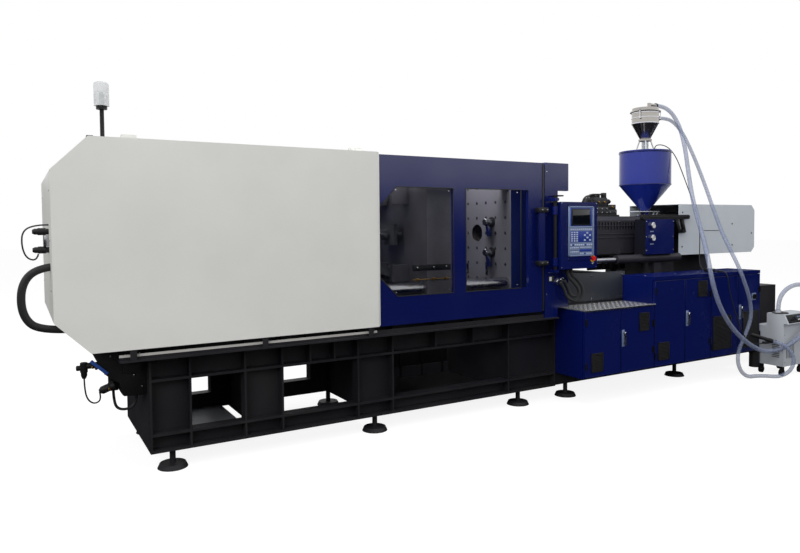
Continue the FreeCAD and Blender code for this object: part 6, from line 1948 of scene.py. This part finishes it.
@dataclass(frozen=True)
class Studio:
    """A plain pale floor, soft light and the photograph's camera."""

    place: Triple = (-3.906, -4.836, 1.609)
    yaw: float = 0.525
    pitch: float = -0.039
    roll: float = -0.009
    lens: float = 29.828
    shift: Range = (0.00054, -0.02964)
    floor_half: float = 60
    ring_radius: float = 9.0
    ring_height: float = 2.4
    middle: Triple = (0, 0, 1.2)

    def camera(self) -> None:
        """Stands the camera where the photograph was taken."""
        ahead = Vector((math.sin(self.yaw) * math.cos(self.pitch), math.cos(self.yaw) * math.cos(self.pitch),
                        math.sin(self.pitch)))
        right = Vector((math.cos(self.yaw), -math.sin(self.yaw), 0))
        up = right.cross(ahead)
        tilted_right = math.cos(self.roll) * right + math.sin(self.roll) * up
        tilted_up = -math.sin(self.roll) * right + math.cos(self.roll) * up
        data = bpy.data.cameras.new("camera")
        data.sensor_width, data.sensor_fit, data.lens = 36, "HORIZONTAL", self.lens
        data.shift_x, data.shift_y = self.shift
        data.clip_end = 200
        made = show("camera", data)
        turn = Matrix((tilted_right, tilted_up, -ahead)).transposed().to_4x4()
        made.matrix_world = Matrix.Translation(self.place) @ turn
        bpy.context.scene.camera = made

    @staticmethod
    def _backdrop(name: str, part: BMesh, look: Owner) -> bpy.types.Object:
        """Stands a part in the scene as a piece of the stage.

        Args:
            name: The object's name.
            part: The part, which is used up.
            look: Its material.

        Returns:
            The object.
        """
        data = bpy.data.meshes.new(name)
        part.to_mesh(data)
        part.free()
        data.materials.append(look)
        made = show(name, data)
        return made

    def floor(self) -> None:
        """A pale floor that keeps the object's shadow and reads as white."""
        part = bmesh.new()
        bmesh.ops.create_grid(part, x_segments=1, y_segments=1, size=self.floor_half)
        board = Board(bpy.data.materials.new("floor_pale"))
        rays = board.add("ShaderNodeLightPath", output="Is Camera Ray")
        lit = board.add("ShaderNodeBsdfDiffuse", {}, {"Color": (0.22, 0.22, 0.22, 1)})
        own = board.add("ShaderNodeEmission", {}, {"Color": WHITE, "Strength": 0.88})
        both = board.add("ShaderNodeAddShader", {}, {0: lit, 1: own})
        plain = board.add("ShaderNodeBsdfDiffuse", {}, {"Color": (0.16, 0.16, 0.16, 1)})
        dim = board.add("ShaderNodeBsdfDiffuse", {}, {"Color": (0.02, 0.02, 0.025, 1)})
        mirrored = board.add("ShaderNodeLightPath", output="Is Glossy Ray")
        unseen = board.add("ShaderNodeMixShader", {}, {0: mirrored, 1: plain, 2: dim})
        look = board.end(board.add("ShaderNodeMixShader", {}, {0: rays, 1: unseen, 2: both}))
        self._backdrop("floor", part, look)

    def horizon(self) -> None:
        """A low dark ring round the machine that only reflections see, as a hall's walls are."""
        part = bmesh.new()
        bmesh.ops.create_cone(part, cap_ends=False, segments=64, radius1=self.ring_radius,
                              radius2=self.ring_radius, depth=self.ring_height)
        bmesh.ops.translate(part, vec=(0, 0, self.ring_height / 2), verts=part.verts)
        board = Board(bpy.data.materials.new("horizon_dark"))
        look = board.end(board.add("ShaderNodeBsdfDiffuse", {}, {"Color": (0.012, 0.012, 0.016, 1)}))
        made = self._backdrop("horizon", part, look)
        made.visible_camera = made.visible_diffuse = made.visible_shadow = False
        made.visible_transmission = made.visible_volume_scatter = False

    def light(self) -> None:
        """White surroundings, which light more softly than they look, and six soft lamps."""
        board = Board(bpy.data.worlds.new("studio"))
        camera, glossy, through = (board.add("ShaderNodeLightPath", output="Is " + kind + " Ray")
                                   for kind in ("Camera", "Glossy", "Transmission"))
        soft = board.add("ShaderNodeBackground", {}, {"Color": WHITE, "Strength": 0.45})
        white = board.add("ShaderNodeBackground", {}, {"Color": WHITE, "Strength": 1.0})
        seen = camera.most(glossy).most(through)
        bpy.context.scene.world = board.end(board.add("ShaderNodeMixShader", {}, {0: seen, 1: soft, 2: white}))
        for name, place, size, power in (
                ("key", (-9.0, -7.0, 6.0), 6.0, 620), ("top", (0.5, -1.0, 8.5), 9.0, 520),
                ("fill", (7.0, -8.0, 4.0), 5.0, 160), ("mould_light", (-0.75, -0.2, 3.1), 0.7, 75),
                ("clamp_light", (-1.75, 0.15, 1.98), 0.35, 2.5), ("end_fill", (-6.5, 0.7, 1.9), 1.5, 22)):
            self._lamp(name, place, size, power)

    def _lamp(self, name: str, place: Triple, size: float, power: float) -> None:
        """A square soft lamp that looks at the machine's middle.

        Args:
            name: Its name.
            place: Where it hangs, in metres.
            size: Its side, in metres.
            power: Its power, in watts.
        """
        data = bpy.data.lights.new(name, "AREA")
        data.shape, data.size, data.energy = "SQUARE", size, power
        made = show(name, data)
        aim = (Vector(self.middle) - Vector(place)).to_track_quat("-Z", "Y").to_matrix().to_4x4()
        made.matrix_world = Matrix.Translation(place) @ aim
        made.visible_glossy = False

    def build(self) -> None:
        """Camera, floor, horizon and light."""
        bpy.context.scene.view_settings.view_transform = "Standard"
        self.camera()
        self.floor()
        self.horizon()
        self.light()


def main() -> None:
    """Loads the frame, dresses it and builds each sub-assembly in order."""
    logging.basicConfig(level=logging.INFO, format="%(message)s")
    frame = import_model()
    Studio().build()
    dress_nodes(frame["nodes"])
    parts = (LoaderHoses(), ClampEnd(), DoorTrim(), RearDoorTrim(), PlatenFaces(), ClampInside(), HoodTrim(),
             BedDetail(), ControlPanelFace(), FixedPanelTrim(), *LEAVES, CabinetTops(), ValveStack(),
             InjectionTrim(), BedPlates(), HopperTrim(), LoaderTrim())
    for part in parts:
        part.build()


if __name__ == "__main__":
    main()
